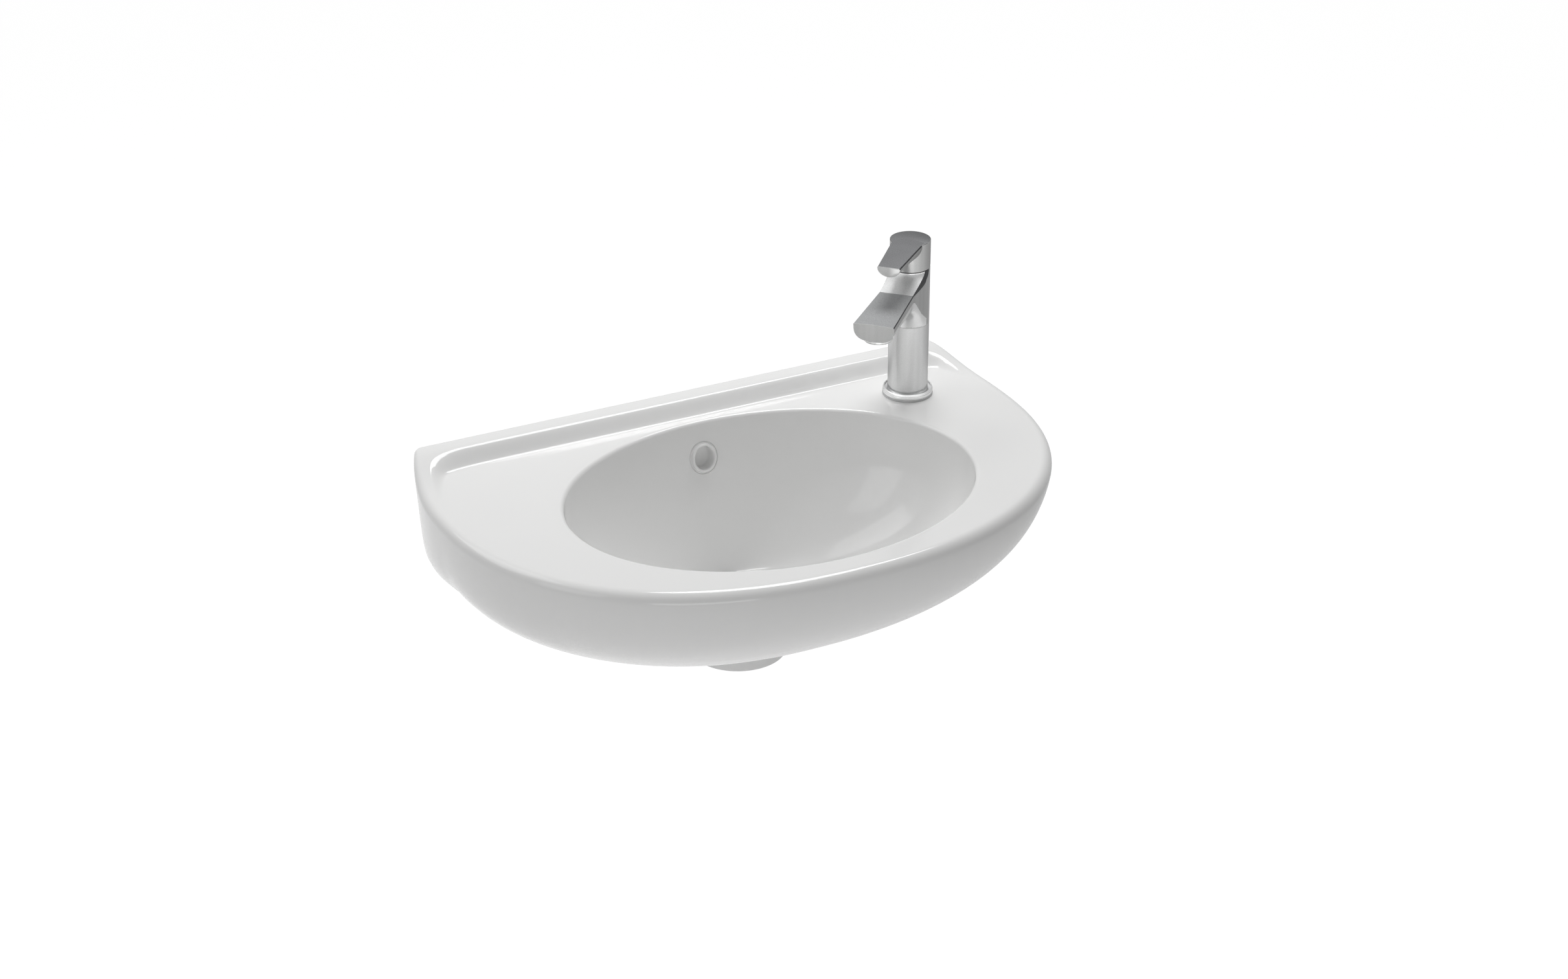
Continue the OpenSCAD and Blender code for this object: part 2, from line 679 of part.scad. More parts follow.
module aerator_insert() {
    insert_r = aerator_r - 2 - fit_gap;
    color("dimgray") in_tap() translate([aerator_u, 0, aerator_face]) difference() {
        cylinder(r = insert_r, h = aerator_l);
        translate([0, 0, 2]) cylinder(r = insert_r - 1.2, h = aerator_l);
        for (ring = [0 : 2])
            for (i = [0 : max(ring * 6 - 1, 0)])
                rotate([0, 0, i * 60 / max(ring, 1)]) translate([ring * 3.2, 0, -1]) cylinder(r = 1, h = 4);
    }
}

module aerator_seal() {
    color("dimgray") in_tap() translate([aerator_u, 0, aerator_face + aerator_l]) difference() {
        cylinder(r = aerator_r - 0.2, h = 1.5);
        translate([0, 0, -1]) cylinder(r = aerator_r - 3.4, h = 4);
    }
}

// The two inlet ports and the outlet port of the cartridge
module ports(z, h) {
    for (side = [-1, 1]) translate([-1, side * port_v, z]) cylinder(r = port_r, h = h);
    translate([outlet_u, 0, z]) cylinder(r = port_r, h = h);
}

module cartridge_seal() {
    color("dimgray") in_tap() difference() {
        translate([0, 0, bore_z]) cylinder(r = cart_r - 0.3, h = seal_t);
        ports(bore_z - 1, seal_t + 2);
    }
}

module cartridge_body() {
    color("whitesmoke") in_tap() difference() {
        translate([0, 0, cart_z]) cylinder(r = cart_r, h = nut_z - cart_z);
        translate([0, 0, disc_z]) cylinder(r = cart_in, h = nut_z);
        ports(cart_z - 1, plate_t + 2);
    }
}

module fixed_disc() {
    color("white") in_tap() difference() {
        translate([0, 0, disc_z]) cylinder(r = cart_in - fit_gap, h = disc_t);
        ports(disc_z - 1, disc_t + 2);
    }
}

module moving_disc() {
    color("white") in_tap() translate([foot_u, 0, moving_z]) difference() {
        cylinder(r = disc_r, h = disc_t);
        translate([1.5, 0, -1]) cylinder(r = 4.4, h = 2.2);
    }
}

module disc_carrier() {
    boss = [2 * (foot_r + play + 1.5), spindle_w + 3];
    color("whitesmoke") in_tap() translate([foot_u, 0, 0]) difference() {
        union() {
            translate([0, 0, carrier_z]) cylinder(r = disc_r, h = carrier_plate_t);
            translate([-boss[0] / 2, -boss[1] / 2, carrier_z])
                cube([boss[0], boss[1], carrier_top - carrier_z]);
        }
        translate([-foot_r - play, -spindle_w / 2 - play, foot_z - foot_r - play])
            cube([2 * (foot_r + play), spindle_w + 2 * play, carrier_top]);
    }
}

module rotor() {
    slot = [16.4, spindle_w + 3.8];
    color("whitesmoke") in_tap() difference() {
        union() {
            translate([0, 0, rotor_z]) cylinder(r = cart_in - 0.08, h = rotor_top - rotor_z);
            translate([0, 0, rotor_z]) cylinder(r = fork_r, h = fork_top - rotor_z);
        }
        translate([-slot[0] / 2, -slot[1] / 2, rotor_z - 1]) cube([slot[0], slot[1], rotor_top - rotor_z]);
        translate([-fork_r - 1, -spindle_w / 2 - play, rotor_top - 2])
            cube([2 * fork_r + 2, spindle_w + 2 * play, fork_top]);
        translate([0, 0, pivot_z]) rotate([90, 0, 0])
            cylinder(d = pin_d, h = 4 * fork_r, center = true);
    }
}

module pivot_pin() {
    color("silver") in_tap() translate([0, 0, pivot_z]) rotate([90, 0, 0])
        cylinder(d = pin_d, h = 2 * fork_r - 1.6, center = true);
}

module spindle() {
    color("silver") in_tap() difference() {
        union() {
            translate([foot_u, 0, foot_z]) rotate([90, 0, 0])
                cylinder(r = foot_r, h = spindle_w, center = true);
            rotate([90, 0, 0]) linear_extrude(spindle_w, center = true) polygon([
                [foot_u - 1.8, foot_z], [foot_u + 1.8, foot_z], [3.2, pivot_z], [-3.2, pivot_z]]);
            translate([0, 0, pivot_z]) rotate([90, 0, 0])
                cylinder(r = 3.9, h = spindle_w, center = true);
            translate([-spindle_u / 2, -spindle_w / 2, pivot_z])
                cube([spindle_u, spindle_w, socket_top - play - pivot_z]);
        }
        translate([0, 0, pivot_z]) rotate([90, 0, 0])
            cylinder(r = pin_d / 2 + running_gap, h = 3 * spindle_w, center = true);
    }
}

module cartridge_nut() {
    color("silver") in_tap() difference() {
        union() {
            translate([0, 0, nut_z]) cylinder(r = cart_r, h = column_h - nut_z);
            translate([0, 0, column_h]) cylinder(r1 = nut_flange_r, r2 = nut_flange_r - 2, h = nut_flange_t);
        }
        translate([0, 0, nut_z - 1]) cylinder(r = fork_r + 0.4, h = nut_depth + nut_flange_t + 2);
    }
}

module lever_blade() {
    loft([for (t = [0, 0.12, 0.2, 0.35, 0.53, 0.7, 0.88, 1]) lever_section(
        lever_root + (lever_reach - lever_root) * t,
        (lever_root_w + (lever_tip_w - lever_root_w) * t) / 2,
        cap_z,
        cap_z - lever_tip_t - lever_swell * pow(1 - t, 1.6))]);
}

module handle() {
    color("silver") in_tap() difference() {
        union() {
            translate([0, 0, cap_base]) cylinder(r = column_r, h = cap_z - cap_base);
            lever_blade();
        }
        translate([0, 0, cap_base - 1]) cylinder(r = cap_in, h = cap_ceiling - cap_base + 1);
        translate([-spindle_u / 2 - fit_gap, -spindle_w / 2 - fit_gap, cap_ceiling - 1])
            cube([spindle_u + 2 * fit_gap, spindle_w + 2 * fit_gap, socket_top - cap_ceiling + 1]);
        translate([0, -column_d, cap_base]) rotate([0, lift_max + 2, 0]) translate([-column_d, 0, -column_d])
            cube([column_d, 2 * column_d, column_d]);
        translate([-spindle_u / 2, 0, screw_z]) rotate([0, -90, 0]) cylinder(r = screw_r, h = column_r);
        translate([-column_r + stopper_t + stopper_inset, 0, screw_z])
            rotate([0, -90, 0]) cylinder(r = stopper_r + fit_gap, h = column_r);
    }
}

module handle_screw() {
    screw_l = column_r - stopper_t - stopper_inset - 1 - spindle_u / 2;
    color("dimgray") in_tap() translate([-spindle_u / 2, 0, screw_z]) rotate([0, -90, 0]) difference() {
        cylinder(r = screw_r, h = screw_l);
        translate([0, 0, screw_l - 2.4]) cylinder(r = 1.25, h = 3, $fn = 6);
    }
}

module handle_stopper() {
    color("silver") in_tap() translate([-column_r + stopper_t + stopper_inset, 0, screw_z])
        rotate([0, -90, 0]) cylinder(r = stopper_r, h = stopper_t - stopper_inset);
}

// The horseshoe that clamps the tap from below
module horseshoe(z, t, r) {
    translate([0, 0, z]) difference() {
        cylinder(r = r, h = t);
        translate([clamp_back, -clamp_slot / 2, -1]) cube([2 * r, clamp_slot, t + 2]);
        translate([stud_u, 0, -1]) cylinder(r = stud_r + fit_gap, h = t + 2);
    }
}

module clamp_stud() {
    color("silver") in_tap() translate([stud_u, 0, -spigot_depth + stud_in - stud_l])
        cylinder(r = stud_r, h = stud_l);
}

module clamp_seal() {
    color("dimgray") in_tap() horseshoe(-deck_t - clamp_seal_t, clamp_seal_t, clamp_r);
}

module clamp_plate() {
    color("silver") in_tap() horseshoe(-deck_t - clamp_seal_t - clamp_plate_t, clamp_plate_t, clamp_r);
}

module clamp_nut() {
    top = -deck_t - clamp_seal_t - clamp_plate_t;
    color("silver") in_tap() translate([stud_u, 0, top - clamp_nut_h]) difference() {
        cylinder(d = clamp_nut_d, h = clamp_nut_h, $fn = 6);
        translate([0, 0, -1]) cylinder(r = stud_r + fit_gap, h = clamp_nut_h + 2);
    }
}

module at_outlet(z) {
    translate([0, -outlet_y, z]) children();
}

module waste_body() {
    color("silver") at_outlet(0) difference() {
        union() {
            translate([0, 0, tail_z]) cylinder(r = waste_r, h = flange_top - tail_z);
            translate([0, 0, flange_top - flange_t])
                cylinder(r1 = flange_d / 2, r2 = flange_d / 2 - 1.5, h = flange_t);
        }
        difference() {
            translate([0, 0, tail_z - 1]) cylinder(r = bore_w, h = flange_top - tail_z + 2);
            for (i = [0 : 2]) rotate([0, 0, 30 + 120 * i])
                translate([0, -web_t / 2, web_z]) cube([bore_w + 1, web_t, web_h]);
            translate([0, 0, web_z]) cylinder(r = hub_r, h = web_h);
        }
        for (a = [0, 90, 180, 270]) rotate([0, 0, a])
            translate([0, -slot_w / 2, duct_z - slot_h / 2]) cube([waste_r + 1, slot_w, slot_h]);
        translate([0, 0, backnut_z - relief_h]) difference() {
            cylinder(r = waste_r + 1, h = relief_h);
            translate([0, 0, -1]) cylinder(r = waste_r - relief_depth, h = relief_h + 2);
        }
    }
}

module waste_top_seal() {
    color("dimgray") at_outlet(seat_z) difference() {
        cylinder(d = flange_d - 3, h = waste_seal_t);
        translate([0, 0, -1]) cylinder(r = waste_r + fit_gap, h = waste_seal_t + 2);
    }
}

module waste_lower_seal() {
    color("dimgray") at_outlet(nut_seat_z - lower_seal_t) difference() {
        cylinder(r1 = backnut_r - 1, r2 = backnut_r - 4, h = lower_seal_t);
        translate([0, 0, -1]) cylinder(r = waste_r + fit_gap, h = lower_seal_t + 2);
    }
}

module waste_backnut() {
    color("gainsboro") at_outlet(backnut_z) difference() {
        cylinder(r = backnut_r, h = backnut_h);
        translate([0, 0, -1]) cylinder(r = waste_r + fit_gap, h = backnut_h + 2);
        for (i = [0 : 7]) rotate([0, 0, 45 * i]) translate([backnut_r + 1.2, 0, -1])
            cylinder(r = 2.6, h = backnut_h - 1);
    }
}

module plug_mechanism() {
    color("whitesmoke") at_outlet(mech_z) difference() {
        cylinder(r = mech_r, h = mech_top - mech_z);
        translate([0, 0, mech_floor]) cylinder(r = stem_r + running_gap, h = mech_top - mech_z);
    }
}

module plug_spring() {
    color("silver") at_outlet(mech_z + mech_floor) difference() {
        cylinder(r = stem_r - 0.3, h = spring_l);
        translate([0, 0, -1]) cylinder(r = stem_r - 1.2, h = spring_l + 2);
    }
}

module plug_stem() {
    color("silver") at_outlet(stem_z) cylinder(r = stem_r, h = cover_z - skirt_l + 4 - stem_z);
}

module plug_cover() {
    r = cover_d / 2;
    color("silver") at_outlet(cover_z) difference() {
        rotate_extrude() polygon(concat(
            [[0, -skirt_l], [skirt_r, -skirt_l], [skirt_r, 0], [r, 0], [r, cover_edge]],
            [for (a = [11.25 : 11.25 : 90])
                [r * cos(a), cover_edge + (cover_rise - cover_edge) * sin(a)]]));
        translate([0, 0, -skirt_l - 1]) cylinder(r = stem_r, h = 5);
        translate([0, 0, plug_groove_z - cover_z]) rotate_extrude()
            translate([plug_ring_c - plug_ring_r - fit_gap, 0]) square([2 * plug_ring_r, plug_groove_h]);
    }
}

module plug_seal() {
    color("dimgray") at_outlet(plug_groove_z + plug_groove_h / 2) rotate_extrude()
        translate([plug_ring_c, 0]) circle(plug_ring_r);
}

basin_body();
tap_body();
base_ring();
base_gasket();
aerator_housing();
aerator_insert();
aerator_seal();
cartridge_seal();
cartridge_body();
fixed_disc();
moving_disc();
disc_carrier();
rotor();
pivot_pin();
spindle();
cartridge_nut();
handle();
handle_screw();
handle_stopper();
clamp_stud();
clamp_seal();
clamp_plate();
clamp_nut();
waste_body();
waste_top_seal();
waste_lower_seal();
waste_backnut();
plug_mechanism();
plug_spring();
plug_stem();
plug_cover();
plug_seal();
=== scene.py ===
"""Looks of a wall-hung oval basin with a single-lever tap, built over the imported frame.

Lengths in the size fields are millimetres, in the frame of the part: x = 0 on the centre line,
y = 0 on the wall and z = 0 on the deck. Meshes are made in metres.
"""

import json
import logging
import math
from dataclasses import dataclass, field
from enum import Enum
from typing import Callable, Sequence

import bmesh
import bpy
from mathutils import Matrix, Vector

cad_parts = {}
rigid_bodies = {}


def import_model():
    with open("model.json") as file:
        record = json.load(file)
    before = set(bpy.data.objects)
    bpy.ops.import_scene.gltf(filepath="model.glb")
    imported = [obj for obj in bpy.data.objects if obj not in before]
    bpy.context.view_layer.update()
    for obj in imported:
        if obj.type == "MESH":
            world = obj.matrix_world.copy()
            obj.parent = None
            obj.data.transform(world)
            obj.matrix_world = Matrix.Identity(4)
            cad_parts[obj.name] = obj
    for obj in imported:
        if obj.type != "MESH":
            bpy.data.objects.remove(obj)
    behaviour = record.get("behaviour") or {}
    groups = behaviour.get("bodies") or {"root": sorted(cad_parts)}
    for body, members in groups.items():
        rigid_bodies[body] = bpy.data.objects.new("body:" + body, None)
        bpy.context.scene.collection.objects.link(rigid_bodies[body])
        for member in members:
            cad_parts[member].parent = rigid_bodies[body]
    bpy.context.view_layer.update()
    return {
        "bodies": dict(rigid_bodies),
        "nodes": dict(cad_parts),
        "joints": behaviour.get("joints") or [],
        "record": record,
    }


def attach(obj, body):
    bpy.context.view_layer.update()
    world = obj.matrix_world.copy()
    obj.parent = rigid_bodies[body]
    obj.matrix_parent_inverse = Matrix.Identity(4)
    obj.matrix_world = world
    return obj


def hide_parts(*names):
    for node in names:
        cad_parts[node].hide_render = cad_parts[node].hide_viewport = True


LOG = logging.getLogger("basin")
MM = 0.001
# Edges that meet at less than this many radians are not rounded
EASE_ANGLE = 0.5
# Edges that meet at more than this many degrees stay sharp
SHARP_ANGLE = 35.0
# Vertices nearer to each other than this many metres are one
SAME_PLACE = 1e-7
Point = tuple[float, float, float]
Pair = tuple[float, float]
Colour = tuple[float, float, float]
RingRule = Callable[[float], Point]
Socket = bpy.types.NodeSocket
# The range in which most of a noise's values lie
NOISE_SPAN = (0.3, 0.7)


class Slot(Enum):
    """The record's material slots."""

    CERAMIC = "ceramic"
    CHROME = "chrome"
    SATIN = "satin"
    STEEL = "steel"
    BRASS = "brass"
    SEAL = "seal"
    GASKET = "gasket"
    PLASTIC = "plastic"
    DARK_PLASTIC = "dark_plastic"
    DISC = "disc"


class Body(Enum):
    """The bodies that pieces ride on."""

    BASIN = "basin"
    HANDLE = "handle"
    PLUG = "plug"


class Cut(Enum):
    """How one solid changes another."""

    TAKE_AWAY = "DIFFERENCE"
    JOIN = "UNION"


# ---- small sums -------------------------------------------------------------------------------


def clamp01(value: float) -> float:
    """Return the value held between 0 and 1."""
    return min(max(value, 0.0), 1.0)


def smooth(value: float) -> float:
    """Return an eased share that starts and ends level."""
    t = clamp01(value)
    return t * t * (3 - 2 * t)


def mix(a: float, b: float, share: float) -> float:
    """Return the value at a share of the way from a to b."""
    return a + (b - a) * share


def sweep(start: float, end: float, steps: int) -> list[float]:
    """Return evenly spaced angles in radians between two in degrees, both among them."""
    return [math.radians(start + (end - start) * k / steps) for k in range(steps + 1)]


def around(count: int) -> list[float]:
    """Return a number of evenly spaced directions in radians."""
    return [math.tau * i / count for i in range(count)]


def rounded_under(power: float, steps: int) -> list[Pair]:
    """Return shares across and down of a rounded underside, from one side to the other."""
    across = [-math.cos(math.pi * i / steps) for i in range(steps + 1)]
    return [(s, (1 - abs(s) ** power) ** (1 / power)) for s in across]


def look_up(value: float, table: Sequence[Pair]) -> float:
    """Read a table of pairs with straight lines between them.

    Args:
        value: Where to read.
        table: Pairs in rising order.

    Returns:
        The value between the two nearest pairs, or that of the nearest end.
    """
    if value <= table[0][0]:
        return table[0][1]
    for (x0, y0), (x1, y1) in zip(table, table[1:]):
        if value <= x1:
            return mix(y0, y1, (value - x0) / (x1 - x0))
    return table[-1][1]


def even_steps(curve: Sequence[Point], count: int) -> list[Point]:
    """Spread points evenly along a curve.

    Args:
        curve: Points close together.
        count: How many points to return, both ends among them.

    Returns:
        Points at even distances along the curve.
    """
    lengths = [0.0]
    for p, q in zip(curve, curve[1:]):
        lengths.append(lengths[-1] + math.dist(p, q))
    found, i = [], 0
    for k in range(count):
        goal = lengths[-1] * k / (count - 1)
        while i < len(lengths) - 2 and lengths[i + 1] < goal:
            i += 1
        share = (goal - lengths[i]) / max(lengths[i + 1] - lengths[i], 1e-9)
        found.append(tuple(mix(a, b, clamp01(share)) for a, b in zip(curve[i], curve[i + 1])))
    return found


# ---- mesh work --------------------------------------------------------------------------------


class RingSkin:
    """A skin through rings: a circle, extruded ring by ring, whose vertices keep their numbers."""

    def __init__(self, rings: Sequence[Sequence[Point]]) -> None:
        """Grow the skin through all its rings.

        Args:
            rings: Rings with the same number of points, in millimetres.
        """
        self.mesh = bmesh.new()
        self.ray = self.mesh.verts.layers.int.new("ray")
        made = bmesh.ops.create_circle(self.mesh, cap_ends=False, segments=len(rings[0]), radius=1.0)
        self.verts = list(made["verts"])
        for i, vert in enumerate(self.verts):
            vert[self.ray] = i
        self.first = self.edges = list(self.mesh.edges)
        self.place(rings[0])
        for ring in rings[1:]:
            self.grow(ring)

    def place(self, points: Sequence[Point]) -> None:
        """Put the open ring's vertices at these points."""
        for vert in self.verts:
            vert.co = Vector(points[vert[self.ray]]) * MM

    def grow(self, points: Sequence[Point]) -> None:
        """Extrude the open ring and place the new one.

        Args:
            points: The new ring's points.
        """
        made = bmesh.ops.extrude_edge_only(self.mesh, edges=self.edges)["geom"]
        self.verts = [g for g in made if isinstance(g, bmesh.types.BMVert)]
        self.edges = [g for g in made if isinstance(g, bmesh.types.BMEdge) and g.is_boundary]
        self.place(points)

    def cap_ends(self) -> None:
        """Close the first and the last ring with a face each."""
        for edges in (self.first, self.edges):
            bmesh.ops.contextual_create(self.mesh, geom=edges)

    def join_ends(self) -> None:
        """Bridge the last ring to the first one."""
        bmesh.ops.bridge_loops(self.mesh, edges=self.first + self.edges)


def finish_mesh(mesh: bmesh.types.BMesh, name: str, sharp: float = SHARP_ANGLE) -> bpy.types.Object:
    """Turn a bmesh into an object at the origin, with closed seams and faces outwards.

    Args:
        mesh: The bmesh, which is freed.
        name: The piece's name.
        sharp: Angle in degrees past which an edge stays sharp.

    Returns:
        The new object, linked to the scene.
    """
    bmesh.ops.remove_doubles(mesh, verts=mesh.verts, dist=SAME_PLACE)
    bmesh.ops.recalc_face_normals(mesh, faces=mesh.faces)
    data = bpy.data.meshes.new(name)
    mesh.to_mesh(data)
    mesh.free()
    piece = bpy.data.objects.new(name, data)
    bpy.context.scene.collection.objects.link(piece)
    soften(piece, sharp)
    return piece


def soften(piece: bpy.types.Object, sharp: float) -> None:
    """Shade a piece smooth, except along edges sharper than an angle in degrees."""
    piece.data.shade_smooth()
    piece.data.set_sharp_from_angle(angle=math.radians(sharp))


def carve(piece: bpy.types.Object, tool: bpy.types.Object, cut: Cut = Cut.TAKE_AWAY) -> None:
    """Change a piece by another solid, which is removed.

    Args:
        piece: The piece to change.
        tool: The closed solid to use.
        cut: What to do.
    """
    work = piece.modifiers.new("carve", "BOOLEAN")
    work.operation = cut.value
    work.solver = "MANIFOLD"
    work.object = tool
    graph = bpy.context.evaluated_depsgraph_get()
    made = bpy.data.meshes.new_from_object(piece.evaluated_get(graph), depsgraph=graph)
    piece.modifiers.clear()
    if not made.polygons:
        raise ValueError(f"{piece.name}: nothing is left after {tool.name}")
    old = piece.data
    name = old.name
    piece.data = made
    bpy.data.meshes.remove(old)
    made.name = name
    leftover = tool.data
    bpy.data.objects.remove(tool)
    bpy.data.meshes.remove(leftover)
    soften(piece, SHARP_ANGLE)


def ease_edges(mesh: bmesh.types.BMesh, size: float) -> None:
    """Round every sharp edge of a mesh by a size in millimetres."""
    sharp = [e for e in mesh.edges if len(e.link_faces) == 2 and e.calc_face_angle() > EASE_ANGLE]
    bmesh.ops.bevel(mesh, geom=sharp, offset=size * MM, offset_type="OFFSET", segments=2,
                    profile=0.5, affect="EDGES", clamp_overlap=True, material=-1)


def turned(profile: Sequence[Pair], name: str, steps: int = 96, ease: float = 0.0) -> bpy.types.Object:
    """Spin a profile round the Z axis.

    Args:
        profile: Radius and height of each corner in millimetres. A closed ring of corners, or an
            open one that starts and ends on the axis.
        name: The piece's name.
        steps: Faces round the axis.
        ease: How far to round its sharp edges, in millimetres.

    Returns:
        The turned solid.
    """
    mesh = bmesh.new()
    verts = [mesh.verts.new((r * MM, 0, z * MM)) for r, z in profile]
    pairs = list(zip(verts, verts[1:]))
    if profile[0][0] > 0:
        pairs.append((verts[-1], verts[0]))
    edges = [mesh.edges.new(pair) for pair in pairs]
    bmesh.ops.spin(mesh, geom=verts + edges, cent=(0, 0, 0), axis=(0, 0, 1), dvec=(0, 0, 0),
                   angle=math.tau, steps=steps, use_merge=True, use_duplicate=False)
    bmesh.ops.remove_doubles(mesh, verts=mesh.verts, dist=SAME_PLACE)
    if ease:
        ease_edges(mesh, ease)
    return finish_mesh(mesh, name)


def lofted(rings: Sequence[Sequence[Point]], name: str, sharp: float = SHARP_ANGLE) -> bpy.types.Object:
    """Skin a row of rings and close both ends.

    Args:
        rings: Rings with the same number of points, in millimetres.
        name: The piece's name.
        sharp: Angle in degrees past which an edge stays sharp.

    Returns:
        The closed solid.
    """
    skin = RingSkin(rings)
    skin.cap_ends()
    return finish_mesh(skin.mesh, name, sharp)


def prism(corners: Sequence[Pair], low: float, high: float, name: str) -> bpy.types.Object:
    """Return a flat outline extruded from one height to another, in millimetres."""
    return lofted([[(x, y, z) for x, y in corners] for z in (low, high)], name)


def block(x: Pair, y: Pair, z: Pair, name: str) -> bpy.types.Object:
    """Return a box that spans a low and a high value on each axis, in millimetres."""
    return prism([(x[0], y[0]), (x[1], y[0]), (x[1], y[1]), (x[0], y[1])], *z, name)


def bar(radius: float, start: Point, end: Point, steps: int = 64) -> bpy.types.Object:
    """Make a round bar.

    Args:
        radius: Its radius in millimetres.
        start: The centre of one end in millimetres.
        end: The centre of the other end.
        steps: Faces round it.

    Returns:
        The bar.
    """
    a, b = Vector(start) * MM, Vector(end) * MM
    mesh = bmesh.new()
    bmesh.ops.create_cone(mesh, cap_ends=True, cap_tris=False, segments=steps, radius1=radius * MM,
                          radius2=radius * MM, depth=(b - a).length)
    turn = Vector((0, 0, 1)).rotation_difference(b - a).to_matrix().to_4x4()
    bmesh.ops.transform(mesh, matrix=Matrix.Translation((a + b) / 2) @ turn, verts=mesh.verts)
    return finish_mesh(mesh, "bar_tool")


def shift(x: float, y: float, z: float) -> Matrix:
    """Return a move by millimetres."""
    return Matrix.Translation(Vector((x, y, z)) * MM)


def turn(degrees: float, axis: str) -> Matrix:
    """Return a turn about an axis."""
    return Matrix.Rotation(math.radians(degrees), 4, axis)


def moved(piece: bpy.types.Object, matrix: Matrix) -> bpy.types.Object:
    """Move a piece's mesh and return the piece, whose object stays at the origin."""
    piece.data.transform(matrix)
    return piece


# ---- finishes ---------------------------------------------------------------------------------


class NodeBoard:
    """A node tree, with short ways to add and join its nodes."""

    def __init__(self, tree: bpy.types.NodeTree) -> None:
        """Keep the tree."""
        self.tree = tree

    def join(self, source: Socket, goal: Socket) -> None:
        """Link two sockets."""
        self.tree.links.new(source, goal)

    def add(self, kind: str, output: str, inputs: dict | None = None, **settings: object) -> Socket:
        """Add a node.

        Args:
            kind: The node's type.
            output: The name of the output that is wanted.
            inputs: A number or a socket to link for each input, by its name or place.
            **settings: The node's own properties.

        Returns:
            The output socket.
        """
        node = self.tree.nodes.new(kind)
        for name, setting in settings.items():
            setattr(node, name, setting)
        for key, value in (inputs or {}).items():
            if isinstance(value, Socket):
                self.join(value, node.inputs[key])
            else:
                node.inputs[key].default_value = value
        return node.outputs[output]

    def ranged(self, source: Socket, span: Pair, low: float, high: float) -> Socket:
        """Return the source's span mapped from low to high."""
        return self.add("ShaderNodeMapRange", "Result", {
            "Value": source, "From Min": span[0], "From Max": span[1], "To Min": low, "To Max": high})

    def sum_of(self, operation: str, one: Socket, other: Socket | float) -> Socket:
        """Return the result of a sum with two values."""
        return self.add("ShaderNodeMath", "Value", {0: one, 1: other}, operation=operation)

    def either(self, share: Socket, first: Socket, second: Socket, goal: str) -> None:
        """Send a mix of two shaders to the output node called goal."""
        mixed = self.add("ShaderNodeMixShader", "Shader", {"Fac": share, 1: first, 2: second})
        self.join(mixed, self.tree.nodes[goal].inputs["Surface"])

    def seen_or_mirrored(self) -> Socket:
        """Return 1 for camera, glossy and transmission rays, and 0 for the others."""
        path = self.tree.nodes.new("ShaderNodeLightPath").outputs
        seen = self.sum_of("MAXIMUM", path["Is Camera Ray"], path["Is Glossy Ray"])
        return self.sum_of("MAXIMUM", seen, path["Is Transmission Ray"])


class FinishBoard(NodeBoard):
    """The node tree of one material, which reads object coordinates."""

    def __init__(self, name: str) -> None:
        """Start a material with one Principled shader."""
        self.material = bpy.data.materials.new(name)
        self.material.use_nodes = True
        super().__init__(self.material.node_tree)
        self.shader = self.tree.nodes["Principled BSDF"]
        self.place = self.add("ShaderNodeTexCoord", "Object")

    def stretched(self, scale: Point) -> Socket:
        """Return object coordinates with a scale along each axis."""
        return self.add("ShaderNodeMapping", "Vector", {"Vector": self.place, "Scale": scale})

    def noise(self, scale: float, detail: float, at: Socket | None = None) -> Socket:
        """Make a noise.

        Args:
            scale: Size of the pattern, in repeats for each metre.
            detail: Octaves of finer noise.
            at: Coordinates, or None for the plain object coordinates.

        Returns:
            The noise's factor socket.
        """
        return self.add("ShaderNodeTexNoise", "Fac",
                        {"Vector": at or self.place, "Scale": scale, "Detail": detail})

    def tint(self, source: Socket, dark: Colour, light: Colour) -> Socket:
        """Return a colour between two, by the middle range of the source."""
        node = self.tree.nodes.new("ShaderNodeValToRGB")
        for stop, place, colour in zip(node.color_ramp.elements, NOISE_SPAN, (dark, light)):
            stop.position, stop.color = place, (*colour, 1)
        self.join(source, node.inputs["Fac"])
        return node.outputs["Color"]

    def times(self, one: Socket, other: Socket) -> Socket:
        """Return the product of two colours."""
        node = self.tree.nodes.new("ShaderNodeMix")
        node.data_type, node.blend_type = "RGBA", "MULTIPLY"
        node.inputs["Factor"].default_value = 1.0
        colours = [socket for socket in node.inputs if socket.type == "RGBA"]
        self.join(one, colours[0])
        self.join(other, colours[1])
        return next(socket for socket in node.outputs if socket.type == "RGBA")

    def value(self, name: str, number: float | tuple[float, ...]) -> None:
        """Set one of the shader's own values."""
        self.shader.inputs[name].default_value = number

    def feed(self, name: str, source: Socket) -> None:
        """Link a socket to the shader."""
        self.join(source, self.shader.inputs[name])

    def bump(self, source: Socket, strength: float, depth: float) -> None:
        """Bump the surface by a height, with a share from 0 to 1 and a depth in millimetres."""
        self.feed("Normal", self.add("ShaderNodeBump", "Normal", {
            "Height": source, "Strength": strength, "Distance": depth * MM}))

    def rough(self, source: Socket, roughness: float, swing: float) -> None:
        """Let the roughness swing by a share of itself."""
        self.feed("Roughness", self.ranged(
            source, NOISE_SPAN, roughness * (1 - swing), roughness * (1 + swing)))


